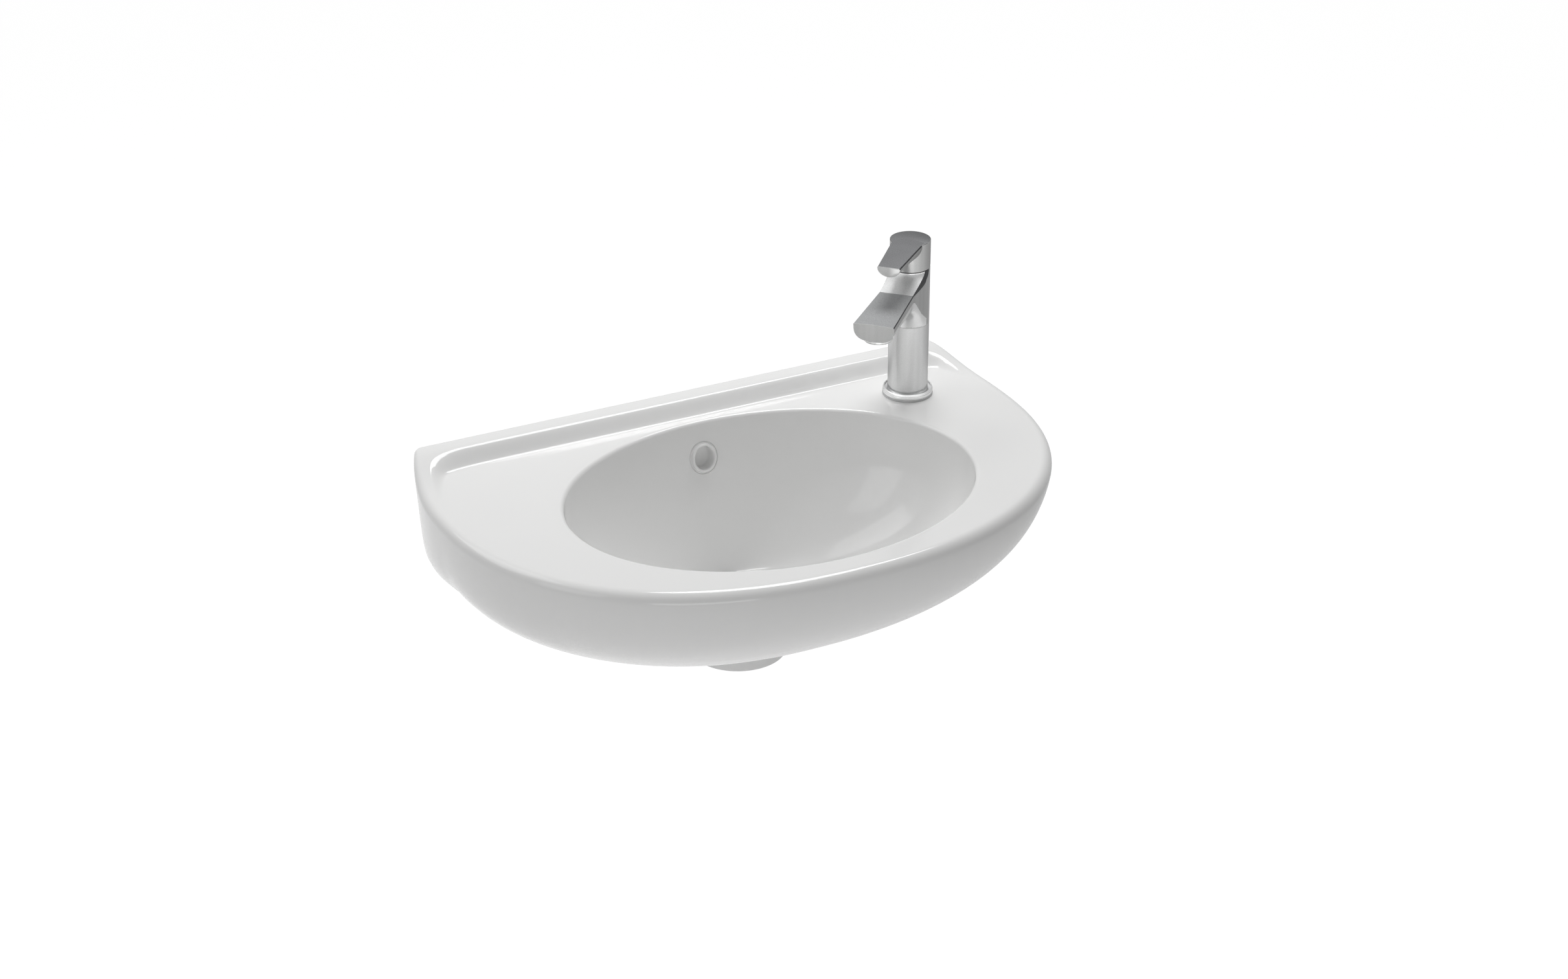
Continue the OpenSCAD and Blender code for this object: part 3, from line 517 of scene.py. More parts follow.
@dataclass(frozen=True)
class Finish:
    """A finish and the slot that it belongs to."""

    name: str
    slot: Slot
    colour: Colour
    roughness: float

    def shades(self, spread: float) -> tuple[Colour, Colour]:
        """Return a darker and a lighter tone of the colour."""
        dark = tuple(c * (1 - spread) for c in self.colour)
        light = tuple(min(c * (1 + spread), 1.0) for c in self.colour)
        return dark, light

    def build(self) -> bpy.types.Material:
        """Return the material, made on first use."""
        found = bpy.data.materials.get(self.name)
        if found is None:
            board = FinishBoard(self.name)
            self.fill(board)
            found = board.material
        return found

    def fill(self, board: FinishBoard) -> None:
        """Fill the node tree."""
        raise NotImplementedError


@dataclass(frozen=True)
class Glaze(Finish):
    """White gloss glaze with a slight waviness."""

    def fill(self, board: FinishBoard) -> None:
        """Fill the node tree with a glaze."""
        board.feed("Base Color", board.tint(board.noise(5.0, 2.0), *self.shades(0.006)))
        board.rough(board.noise(14.0, 3.0), self.roughness, 0.15)
        board.bump(board.noise(45.0, 1.0), 0.08, 0.25)
        board.value("IOR", 1.5)


@dataclass(frozen=True)
class Metal(Finish):
    """Plated or plain metal with a fine grain, and upright bands of painted shade, as on a faceted round."""

    grain: float = 2600.0
    grain_depth: float = 0.01
    stretch: Point = (1.0, 1.0, 1.0)
    tone: float = 0.04
    # Depth of the upright bands of painted shade, as a share of the colour
    painted_bands: float = 0.02
    rim_tone: float = 0.7
    metallic: float = 1.0

    def fill(self, board: FinishBoard) -> None:
        """Fill the node tree with a metal."""
        fine = board.noise(self.grain, 2.0, board.stretched(self.stretch))
        # Upright bands of painted shade: a noise that changes only round the piece darkens the colour in
        # streaks
        upright = board.noise(120.0, 1.0, board.stretched((1, 1, 0)))
        tone = board.tint(fine, *self.shades(self.tone))
        painted_band = board.tint(upright, (1 - 2 * self.painted_bands,) * 3, (1.0, 1.0, 1.0))
        board.feed("Base Color", board.times(tone, painted_band))
        board.rough(board.noise(18.0, 3.0), self.roughness, 0.15)
        board.bump(fine, 0.25, self.grain_depth)
        board.value("Metallic", self.metallic)
        board.value("Specular Tint", (self.rim_tone, self.rim_tone, self.rim_tone, 1))


@dataclass(frozen=True)
class Moulded(Finish):
    """Moulded plastic, rubber or lapped ceramic with a fine surface texture."""

    grain: float = 900.0
    grain_depth: float = 0.03

    def fill(self, board: FinishBoard) -> None:
        """Fill the node tree with a moulded surface."""
        fine = board.noise(self.grain, 3.0)
        board.feed("Base Color", board.tint(board.noise(70.0, 4.0), *self.shades(0.05)))
        board.rough(fine, self.roughness, 0.12)
        board.bump(fine, 0.35, self.grain_depth)


GLAZE = Glaze("white_glaze", Slot.CERAMIC, (0.84, 0.84, 0.835), 0.09)
COLUMN_METAL = Metal("column_satin", Slot.CHROME, (0.68, 0.683, 0.683), 0.34, 1400.0, tone=0.05, painted_bands=0.05)
# The column's satin chrome in a darker tone: painted shade on the lever, the spout's end, the aerator's ring
# and chrome CAD nodes
BODY_PAINTED_SHADE_METAL = Metal("lever_satin_painted_shade", Slot.CHROME, (0.5, 0.503, 0.5), 0.32, 1400.0, tone=0.05, painted_bands=0.05)
# A dark copy of the satin chrome: painted dark reflection on the handle's flat top and on satin CAD nodes
TOP_PAINTED_REFLECTION_METAL = Metal("lever_top_painted_dark_reflection", Slot.SATIN, (0.2, 0.202, 0.207), 0.45, 1100.0, tone=0.2, painted_bands=0.0)
# A dark, barely metallic copy of the satin chrome: painted dark reflection on the spout's flat top
SPOUT_PAINTED_REFLECTION_METAL = Metal("spout_top_painted_dark_reflection", Slot.SATIN, (0.33, 0.335, 0.34), 0.55, 1100.0, tone=0.16, painted_bands=0.0,
                    metallic=0.15)
# A light, half-metallic copy of the satin chrome: painted highlight on the ramp under the lever
RAMP_PAINTED_HIGHLIGHT_METAL = Metal("ramp_painted_highlight", Slot.CHROME, (0.7, 0.703, 0.703), 0.42, 900.0, tone=0.08, painted_bands=0.0,
                   metallic=0.5)
# A darker copy of the satin chrome: painted shade on the sides of the neck and spout
NECK_SIDE_PAINTED_SHADE_METAL = Metal("neck_side_painted_shade", Slot.CHROME, (0.52, 0.523, 0.523), 0.34, 1400.0, tone=0.06, painted_bands=0.04)
# A near-black copy of the satin chrome: painted dark reflection on the facets along the top edges of spout
# and lever
EDGE_PAINTED_REFLECTION_METAL = Metal("edge_painted_dark_reflection", Slot.SATIN, (0.09, 0.091, 0.094), 0.4, 1100.0, tone=0.2, painted_bands=0.0)
# A light copy of the satin chrome: painted light on the base ring and on the spout's underside and fillet
RING_AND_FILLET_PAINTED_LIGHT_METAL = Metal("ring_and_fillet_painted_light", Slot.CHROME, (0.88, 0.883, 0.883), 0.28, 1400.0, painted_bands=0.0)
POLISHED = Metal("polished_chrome", Slot.CHROME, (0.68, 0.685, 0.69), 0.1, grain_depth=0.002, tone=0.01)
STEEL = Metal("plain_steel", Slot.STEEL, (0.5, 0.5, 0.5), 0.32, 700.0, stretch=(1, 1, 0.1))
BRASS = Metal("turned_brass", Slot.BRASS, (0.7, 0.52, 0.25), 0.28, 900.0, stretch=(1, 1, 12))
SEAL = Moulded("black_rubber", Slot.SEAL, (0.022, 0.022, 0.022), 0.75)
GASKET = Moulded("grey_gasket", Slot.GASKET, (0.6, 0.603, 0.603), 0.5)
PLASTIC = Moulded("white_plastic", Slot.PLASTIC, (0.72, 0.72, 0.71), 0.42, grain_depth=0.01)
DARK_PLASTIC = Moulded("dark_plastic", Slot.DARK_PLASTIC, (0.05, 0.052, 0.055), 0.45, grain_depth=0.01)
DISC = Moulded("lapped_ceramic", Slot.DISC, (0.76, 0.755, 0.73), 0.2, grain_depth=0.004)

# Chrome CAD nodes take the darker copy with painted shade, satin ones the dark copy with painted reflection
NODE_FINISHES: dict[Slot, Finish] = {
    finish.slot: finish for finish in (
        GLAZE, BODY_PAINTED_SHADE_METAL, TOP_PAINTED_REFLECTION_METAL, STEEL, BRASS, SEAL, GASKET, PLASTIC, DARK_PLASTIC, DISC)
}


def dress(piece: bpy.types.Object, finish: Finish) -> None:
    """Give a piece one finish in place of what it has."""
    piece.data.materials.clear()
    piece.data.materials.append(finish.build())


def dress_faces(piece: bpy.types.Object, rule: Callable[[Vector, Vector], Finish]) -> None:
    """Give each face of a piece its finish.

    Args:
        piece: The piece, with its mesh still in the tap's frame.
        rule: Returns the finish of a face, from its centre in millimetres and its normal.
    """
    piece.data.materials.clear()
    found: list[Finish] = []
    for face in piece.data.polygons:
        finish = rule(face.center / MM, face.normal)
        if finish not in found:
            found.append(finish)
            piece.data.materials.append(finish.build())
        face.material_index = found.index(finish)


def seat(piece: bpy.types.Object, body: Body, finish: Finish, *nodes: str) -> None:
    """Let a piece ride on a body and stand for CAD nodes, and dress it if nothing has yet.

    Args:
        piece: The finished piece.
        body: The body that it moves with.
        finish: The finish whose slot it takes.
        nodes: The CAD nodes that it replaces.
    """
    if not any(piece.data.materials):
        dress(piece, finish)
    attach(piece, body.value)
    if nodes:
        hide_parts(*nodes)
    LOG.info("%s: %d faces, rides on %s", piece.name, len(piece.data.polygons), body.value)


# ---- basin ------------------------------------------------------------------------------------


@dataclass
class BasinShape:
    """The sizes of the ceramic body, and the curves that follow from them."""

    width: float = 600.0
    depth: float = 380.0
    plan_centre: float = 118.0
    plan_power: float = 2.26
    height: float = 211.0
    belly_h: float = 200.0
    side_lean: float = 0.058
    edge_r: float = 10.0
    wall_edge_r: float = 6.5
    edge_drop: float = 12.0
    upstand_h: float = 14.0
    ledge_w: float = 16.0
    cove_w: float = 17.0
    fade_y: float = 118.0
    rise_power: float = 2.2
    bowl_w: float = 398.0
    bowl_l: float = 305.0
    bowl_back: float = 43.5
    bowl_depth: float = 146.0
    rim_r: float = 4.0
    skin_t: float = 9.0
    outlet_y: float = 122.0
    outlet_r: float = 22.5
    boss_r: float = 48.2
    seat_r: float = 33.0
    seat_depth: float = 3.0
    recess_r: float = 35.0
    recess_depth: float = 14.0
    floor_r: float = 34.5
    back_powers: Pair = (1.45, 1.05)
    front_powers: Pair = (1.8, 1.6)
    side_powers: Pair = (2.0, 1.8)
    ledge_in: Pair = (10.5, 4.5)
    foot_in: Point = (13.0, 16.0, 1.18)
    corner_power: float = 24.0
    least_sine: float = 0.02
    belly_end: float = 0.995
    belly_reach: tuple[Pair, ...] = (
        (-1, 1.08), (-0.5, 1.46), (0, 1.31), (0.42, 1.45), (0.62, 1.4), (0.8, 1.3), (1, 1.3))
    belly_power: tuple[Pair, ...] = (
        (-1, 1.44), (-0.5, 1.29), (0, 1.41), (0.42, 1.42), (0.62, 1.8), (0.8, 2.5), (1, 3.3))
    belly_corner: tuple[Pair, ...] = (
        (-1, 2.6), (-0.5, 3.8), (0, 12.6), (0.42, 24), (0.62, 12), (0.8, 8), (1, 8))

    def outline_r(self, a: float) -> float:
        """Return the plan outline's distance from the plan centre in direction a."""
        across = abs(math.cos(a)) / (self.width / 2)
        along = abs(math.sin(a)) / (self.depth - self.plan_centre)
        return (across ** self.plan_power + along ** self.plan_power) ** (-1 / self.plan_power)

    def wall_r(self, a: float, inset: float) -> float:
        """Return the distance in direction a to a line parallel to the wall."""
        return (self.plan_centre - inset) / max(math.sin(a), self.least_sine)

    def rounded_min(self, p: float, q: float, power: float) -> float:
        """Return the smaller of two distances with a rounded corner between them."""
        return (p ** -power + q ** -power) ** (-1 / power)

    def ellipse_r(self, a: float, cy: float, ea: float, eb: float) -> float:
        """Measure from the plan centre to an ellipse on the centre line.

        Args:
            a: The direction.
            cy: The ellipse's centre in y.
            ea: Half its width.
            eb: Half its depth.

        Returns:
            The distance in millimetres.
        """
        dy = -self.plan_centre - cy
        k = (math.cos(a) / ea) ** 2 + (math.sin(a) / eb) ** 2
        h = dy * math.sin(a) / eb ** 2
        c = dy * dy / eb ** 2 - 1
        return (-h + math.sqrt(h * h - k * c)) / k

    def at(self, a: float, r: float, z: float) -> Point:
        """Return the point at a direction, distance and height."""
        return (r * math.cos(a), -self.plan_centre + r * math.sin(a), z)

    def risen(self, a: float) -> float:
        """Return how near the ray's end is to the wall, from 0 to 1."""
        y = min(-self.plan_centre + self.outline_r(a) * math.sin(a), 0.0)
        return clamp01((y + self.fade_y) / self.fade_y)

    def rise(self, a: float) -> float:
        """Return the share of the upstand's height on the ray."""
        return smooth(self.risen(a) ** self.rise_power)

    def rim_z(self, a: float) -> float:
        """Return the height of the outer rim on the ray."""
        return self.upstand_h * self.rise(a)

    def edge_at(self, a: float) -> float:
        """Return the radius of the outer top edge on the ray."""
        return mix(self.edge_r, self.wall_edge_r, self.rise(a))

    def belly_r(self, a: float, z: float) -> float:
        """Measure from the plan centre to the belly.

        Args:
            a: The direction.
            z: The height.

        Returns:
            The distance in millimetres.
        """
        s = math.sin(a)
        u = clamp01((-z - self.edge_drop) / (self.belly_h - self.edge_drop)) * self.belly_end
        reach, corner = look_up(s, self.belly_reach), look_up(s, self.belly_corner)
        outline = self.outline_r(a)
        side = outline - self.side_lean * (self.rim_z(a) - self.edge_at(a) - z)
        low = outline * reach * (1 - u ** look_up(s, self.belly_power))
        return self.rounded_min(side, low, corner) * (1 + reach ** -corner) ** (1 / corner)

    def ledge_r(self, a: float) -> float:
        """Return the inner edge of the upstand's flat top."""
        front, more = self.ledge_in
        return self.rounded_min(self.outline_r(a) - front - more * self.risen(a),
                                self.wall_r(a, self.ledge_w), self.corner_power)

    def foot_r(self, a: float) -> float:
        """Return the foot of the curved step where the deck starts."""
        front, more, speed = self.foot_in
        inset = front + more * smooth(speed * self.risen(a))
        return self.rounded_min(self.outline_r(a) - inset, self.wall_r(a, self.ledge_w + self.cove_w),
                                self.corner_power)

    def sunk(self, v: float, powers: Pair) -> float:
        """Return how much of its reach a bowl curve keeps at a share of the depth."""
        return (1 - v ** powers[0]) ** (1 / powers[1])

    def bowl_back_y(self, v: float) -> float:
        """Return the bowl's back at a share of its depth."""
        foot = self.outlet_y - self.floor_r
        return -foot + (foot - self.bowl_back) * self.sunk(v, self.back_powers)

    def bowl_front_y(self, v: float) -> float:
        """Return the bowl's front at a share of its depth."""
        foot = self.outlet_y + self.floor_r
        return -foot - (self.bowl_back + self.bowl_l - foot) * self.sunk(v, self.front_powers)

    def bowl_side(self, v: float) -> float:
        """Return half the bowl's width at a share of its depth."""
        return self.floor_r + (self.bowl_w / 2 - self.floor_r) * self.sunk(v, self.side_powers)

    def bowl_r(self, a: float, v: float, grow: float = 0.0) -> float:
        """Return the bowl's distance in direction a at a share of its depth."""
        back, front = self.bowl_back_y(v), self.bowl_front_y(v)
        return self.ellipse_r(a, (back + front) / 2, self.bowl_side(v) + grow, (back - front) / 2 + grow)

    def boss_ray(self, a: float, r: float) -> float:
        """Return the distance in direction a to a circle round the outlet."""
        return self.ellipse_r(a, -self.outlet_y, r, r)


@dataclass
class BasinBody:
    """The ceramic body: skin, bowl, outlet, service spaces and holes."""

    shape: BasinShape = field(default_factory=BasinShape)
    rays: int = 288
    belly_rings: int = 44
    bowl_rings: int = 52
    fine_steps: int = 160
    belly_crowd: float = 1.6
    bowl_crowd: float = 0.8
    back_t: float = 14.0
    deck_t: float = 12.0
    pocket_in: float = 60.0
    pocket_left: float = 204.0
    pocket_right: float = 244.0
    pocket_reach: float = 104.0
    pocket_corner: float = 14.0
    pocket_roof: float = -74.0
    bolt_x: float = 140.0
    bolt_z: float = -60.0
    bolt_r: float = 7.0
    tap_x: float = 210.0
    tap_y: float = 76.0
    tap_hole_r: float = 17.5
    overflow_z: float = 36.2
    overflow_turn: float = 80.0
    mouth: Pair = (22.0, 25.0)
    mouth_well: Pair = (1.2, 9.6)
    mouth_clear: float = 8.0
    core_share: Pair = (0.7, 0.8)
    core_heights: tuple[float, ...] = (
        -185, -165, -155, -148, -140, -130, -118, -105, -90, -72, -54, -36, -18, 2)

    def ring(self, rule: RingRule) -> list[Point]:
        """Return the points of one ring."""
        return [rule(a) for a in around(self.rays)]

    def even_rings(self, curve: Callable[[float], list[Pair]], count: int) -> list[list[Point]]:
        """Spread rings evenly along a curve that changes from ray to ray.

        Args:
            curve: Returns the distance and height of close points, from a direction.
            count: How many rings to return.

        Returns:
            The rings.
        """
        columns = [even_steps(curve(a), count) for a in around(self.rays)]
        return [[self.shape.at(a, *c[k]) for a, c in zip(around(self.rays), columns)] for k in range(count)]

    def circle(self, r: float, z: float) -> list[Point]:
        """Return a ring on a circle round the outlet."""
        s = self.shape
        return self.ring(lambda a: s.at(a, s.boss_ray(a, r), z))

    def belly_curve(self, a: float) -> list[Pair]:
        """Follow the belly from the outlet boss up to the widest line.

        Args:
            a: The direction.

        Returns:
            The distance and height of close points.
        """
        s, n = self.shape, self.fine_steps
        goal = s.boss_ray(a, s.boss_r)
        low, high = -s.belly_h, -s.belly_h * 0.6
        for _ in range(40):
            middle = (low + high) / 2
            low, high = (low, middle) if s.belly_r(a, middle) > goal else (middle, high)
        heights = [mix(low, -s.edge_drop, (i / n) ** self.belly_crowd) for i in range(1, n + 1)]
        return [(goal, low)] + [(s.belly_r(a, z), z) for z in heights]

    def edge(self) -> list[list[Point]]:
        """Return the rings of the rounded outer top edge."""
        s = self.shape
        return [self.ring(lambda a, f=f: s.at(
            a, s.outline_r(a) - s.edge_at(a) * (1 - math.cos(f)),
            s.rim_z(a) - s.edge_at(a) * (1 - math.sin(f))))
            for f in sweep(0, 90, 9)]

    def step(self) -> list[list[Point]]:
        """Return the rings of the upstand's curved step and the flat deck inside it."""
        s = self.shape
        rings = [self.ring(lambda a, t=k / 12: s.at(
            a, mix(s.ledge_r(a), s.foot_r(a), t), s.rim_z(a) * (1 - smooth(t)))) for k in range(13)]
        for t in (0.3, 0.6, 0.85):
            rings.append(self.ring(lambda a, t=t: s.at(a, mix(s.foot_r(a), s.bowl_r(a, 0, s.rim_r), t), 0)))
        return rings

    def bowl_rim(self) -> list[list[Point]]:
        """Return the rings of the bowl's rounded rim."""
        s = self.shape
        return [self.ring(lambda a, f=f: s.at(
            a, s.bowl_r(a, 0, s.rim_r * (1 - math.sin(f))), -s.rim_r * (1 - math.cos(f))))
            for f in sweep(0, 90, 8)]

    def bowl_curve(self, a: float) -> list[Pair]:
        """Follow the bowl from the foot of its rim down to its floor.

        Args:
            a: The direction.

        Returns:
            The distance and height of close points.
        """
        s, n = self.shape, self.fine_steps
        shares = [mix(s.rim_r / s.bowl_depth, 1, (i / n) ** self.bowl_crowd) for i in range(n + 1)]
        return [(s.bowl_r(a, v), -s.bowl_depth * v) for v in shares]

    def outlet(self) -> list[list[Point]]:
        """Return the rings from the bowl's floor through the outlet to the boss's foot."""
        s = self.shape
        floor, seat_z = -s.bowl_depth, -s.bowl_depth - s.seat_depth
        roof, foot = -s.height + s.recess_depth, -s.height
        plan = ((s.seat_r + 0.6, floor), (s.seat_r + 0.2, floor - 0.2), (s.seat_r, floor - 0.6),
                (s.seat_r, seat_z), (s.outlet_r + 0.5, seat_z), (s.outlet_r, seat_z - 0.5),
                (s.outlet_r, roof), (s.recess_r, roof), (s.recess_r, foot + 1), (s.recess_r + 1, foot),
                (s.boss_r - 3, foot), (s.boss_r - 0.9, foot + 0.9), (s.boss_r, foot + 3))
        return [self.circle(r, z) for r, z in plan]

    def skin(self) -> bpy.types.Object:
        """Return the whole skin as one closed solid, cut flat at the wall."""
        work = RingSkin(self.even_rings(self.belly_curve, self.belly_rings) + self.edge() + self.step()
                        + self.bowl_rim() + self.even_rings(self.bowl_curve, self.bowl_rings)[1:]
                        + self.outlet())
        work.join_ends()
        mesh = work.mesh
        made = bmesh.ops.bisect_plane(
            mesh, geom=list(mesh.verts) + list(mesh.edges) + list(mesh.faces), dist=SAME_PLACE,
            plane_co=(0, 0, 0), plane_no=(0, 1, 0), clear_outer=True)
        rim = [g for g in made["geom_cut"] if isinstance(g, bmesh.types.BMEdge)]
        bmesh.ops.contextual_create(mesh, geom=rim)
        return finish_mesh(mesh, "basin_shell")

    def pocket_plan(self, side: int, out: float) -> list[Pair]:
        """Draw the rounded plan of a service space.

        Args:
            side: -1 for the left, 1 for the right.
            out: How far out it reaches.

        Returns:
            The plan's corners.
        """
        corner, low, high = self.pocket_corner, -self.pocket_reach, -self.back_t
        points = [(self.pocket_in, high)]
        for centre, start in ((self.pocket_in + corner, 180), (out - corner, 270)):
            points += [(centre + corner * math.cos(f), low + corner + corner * math.sin(f))
                       for f in sweep(start, start + 90, 8)]
        points.append((out, high))
        return [(side * x, y) for x, y in points]

    def core(self) -> bpy.types.Object:
        """Return the solid that the service spaces leave round the bowl."""
        s = self.shape
        down, out = self.core_share
        rings = []
        for z in self.core_heights:
            v = clamp01((-z - s.skin_t * down) / s.bowl_depth)
            rings.append([s.at(a, max(s.bowl_r(a, v, s.skin_t * out), s.boss_ray(a, s.boss_r)), z)
                          for a in around(96)])
        return lofted(rings, "core_tool")

    def service_space(self, side: int) -> bpy.types.Object:
        """Return the solid that is taken out on one side."""
        out = self.pocket_right if side > 0 else self.pocket_left
        roof = -self.deck_t if side > 0 else self.pocket_roof
        space = prism(self.pocket_plan(side, out), -self.shape.height - 5, roof, "space_tool")
        if side < 0:
            wide = prism(self.pocket_plan(side, self.pocket_right), -95, -self.deck_t, "upper_tool")
            carve(space, wide, Cut.JOIN)
        carve(space, self.core())
        return space

    def overflow_frame(self) -> Matrix:
        """Return the place of the overflow, with its Z axis out of the bowl's back wall."""
        y = self.shape.bowl_back_y(self.overflow_z / self.shape.bowl_depth)
        return shift(0, y, -self.overflow_z) @ turn(self.overflow_turn, "X")

    def mouth_tool(self, out: float, low: float) -> bpy.types.Object:
        """Return an oval solid that opens the wall for the overflow's lip.

        Args:
            out: How much wider than the mouth it is, each way.
            low: How far it reaches into the wall.
        """
        w, h = self.mouth[0] / 2 + out, self.mouth[1] / 2 + out
        oval = [(math.cos(f) * w, math.sin(f) * h) for f in around(96)]
        return moved(prism(oval, -low, self.mouth_clear, "mouth_tool"), self.overflow_frame())

    def build(self) -> None:
        """Make the ceramic body and its overflow lip."""
        body = self.skin()
        for side in (-1, 1):
            x = side * self.bolt_x
            carve(body, self.service_space(side))
            carve(body, bar(self.bolt_r, (x, 5, self.bolt_z), (x, -self.back_t - 4, self.bolt_z)))
        carve(body, bar(self.tap_hole_r, (self.tap_x, -self.tap_y, -self.deck_t - 3),
                        (self.tap_x, -self.tap_y, 3)))
        lip = OverflowLip(self)
        carve(body, self.mouth_tool(*self.mouth_well))
        carve(body, self.mouth_tool(lip.edge - lip.overlap, lip.seat_depth))
        seat(body, Body.BASIN, GLAZE, "basin_body")
        seat(lip.build(), Body.BASIN, GLAZE)


@dataclass
class OverflowLip:
    """The raised ring round the overflow mouth, with the well inside it."""

    basin: BasinBody
    crest: float = 3.7
    lip_w: float = 2.0
    inner: float = 0.9
    foot_w: float = 0.9
    groove_w: float = 1.2
    groove_depth: float = 1.0
    seat_depth: float = 2.2
    overlap: float = 0.02
    well: float = 9.4
    waist: float = 0.42

    @property
    def edge(self) -> float:
        """Return how far outside the mouth the lip ends."""
        return self.lip_w + self.foot_w + self.groove_w

    def profile(self) -> list[Pair]:
        """Draw the lip's profile.

        Returns:
            The distance outside the mouth and the height off the wall of each corner.
        """
        points = [(0.5, -self.well - 0.9), (0.9, -self.well - 0.4), (0.9, -self.seat_depth),
                  (self.edge, -self.seat_depth)]
        for k in range(9):
            points.append((self.edge - self.groove_w * k / 9, -self.groove_depth * math.sin(math.pi * k / 9)))
        for f in sweep(0, 90, 6):
            points.append((self.lip_w + self.foot_w * (1 - math.sin(f)),
                           self.crest * self.waist * (1 - math.cos(f))))
        for f in sweep(0, 165, 12)[1:]:
            out = (self.lip_w - self.inner) / 2 + (self.lip_w + self.inner) / 2 * math.cos(f)
            points.append((out, self.crest * (self.waist + (1 - self.waist) * math.sin(f))))
        points += [(-self.inner - 0.1, self.crest * 0.2), (-self.inner - 0.15, -1.0),
                   (-self.inner - 0.2, -3.0), (-self.inner - 0.3, -6.0), (-1.7, -8.2), (-2.9, -9.2),
                   (-5.5, -self.well)]
        return points

    def build(self) -> bpy.types.Object:
        """Return the lip with its outermost ring on the bowl's wall."""
        frame = self.basin.overflow_frame()
        upright = frame.to_3x3()
        w, h = self.basin.mouth[0] / 2, self.basin.mouth[1] / 2
        rings = []
        for out, high in self.profile():
            ring = []
            for f in around(96):
                p = frame @ (Vector(((w + out) * math.cos(f), (h + out) * math.sin(f), 0)) * MM)
                wall = self.on_wall(p)
                level = wall if out > 0 else p.lerp(wall, clamp01(1 + out / 3))
                ring.append(tuple(c / MM for c in level + upright @ Vector((0, 0, high * MM))))
            rings.append(ring)
        return lofted(rings, "overflow_lip", 60)

    def on_wall(self, p: Vector) -> Vector:
        """Find the bowl's wall straight behind a point in the overflow's plane.

        Args:
            p: The point in metres.

        Returns:
            The point of the wall in metres.
        """
        shape, x, z = self.basin.shape, p.x / MM, p.z / MM
        v = clamp01(-z / shape.bowl_depth)
        back, front = shape.bowl_back_y(v), shape.bowl_front_y(v)
        share = math.sqrt(max(1 - (x / shape.bowl_side(v)) ** 2, 0))
        return Vector((x, (back + front) / 2 + (back - front) / 2 * share, z)) * MM


# ---- tap --------------------------------------------------------------------------------------


@dataclass
class TapPlace:
    """Where the tap stands, and which way its spout points."""

    x: float = 210.0
    y: float = 76.0
    turn: float = 45.0

    def matrix(self) -> Matrix:
        """Return the tap's frame: +X along the spout, +Z up, on its axis at deck height."""
        return shift(self.x, -self.y, 0) @ turn(270 - self.turn, "Z")


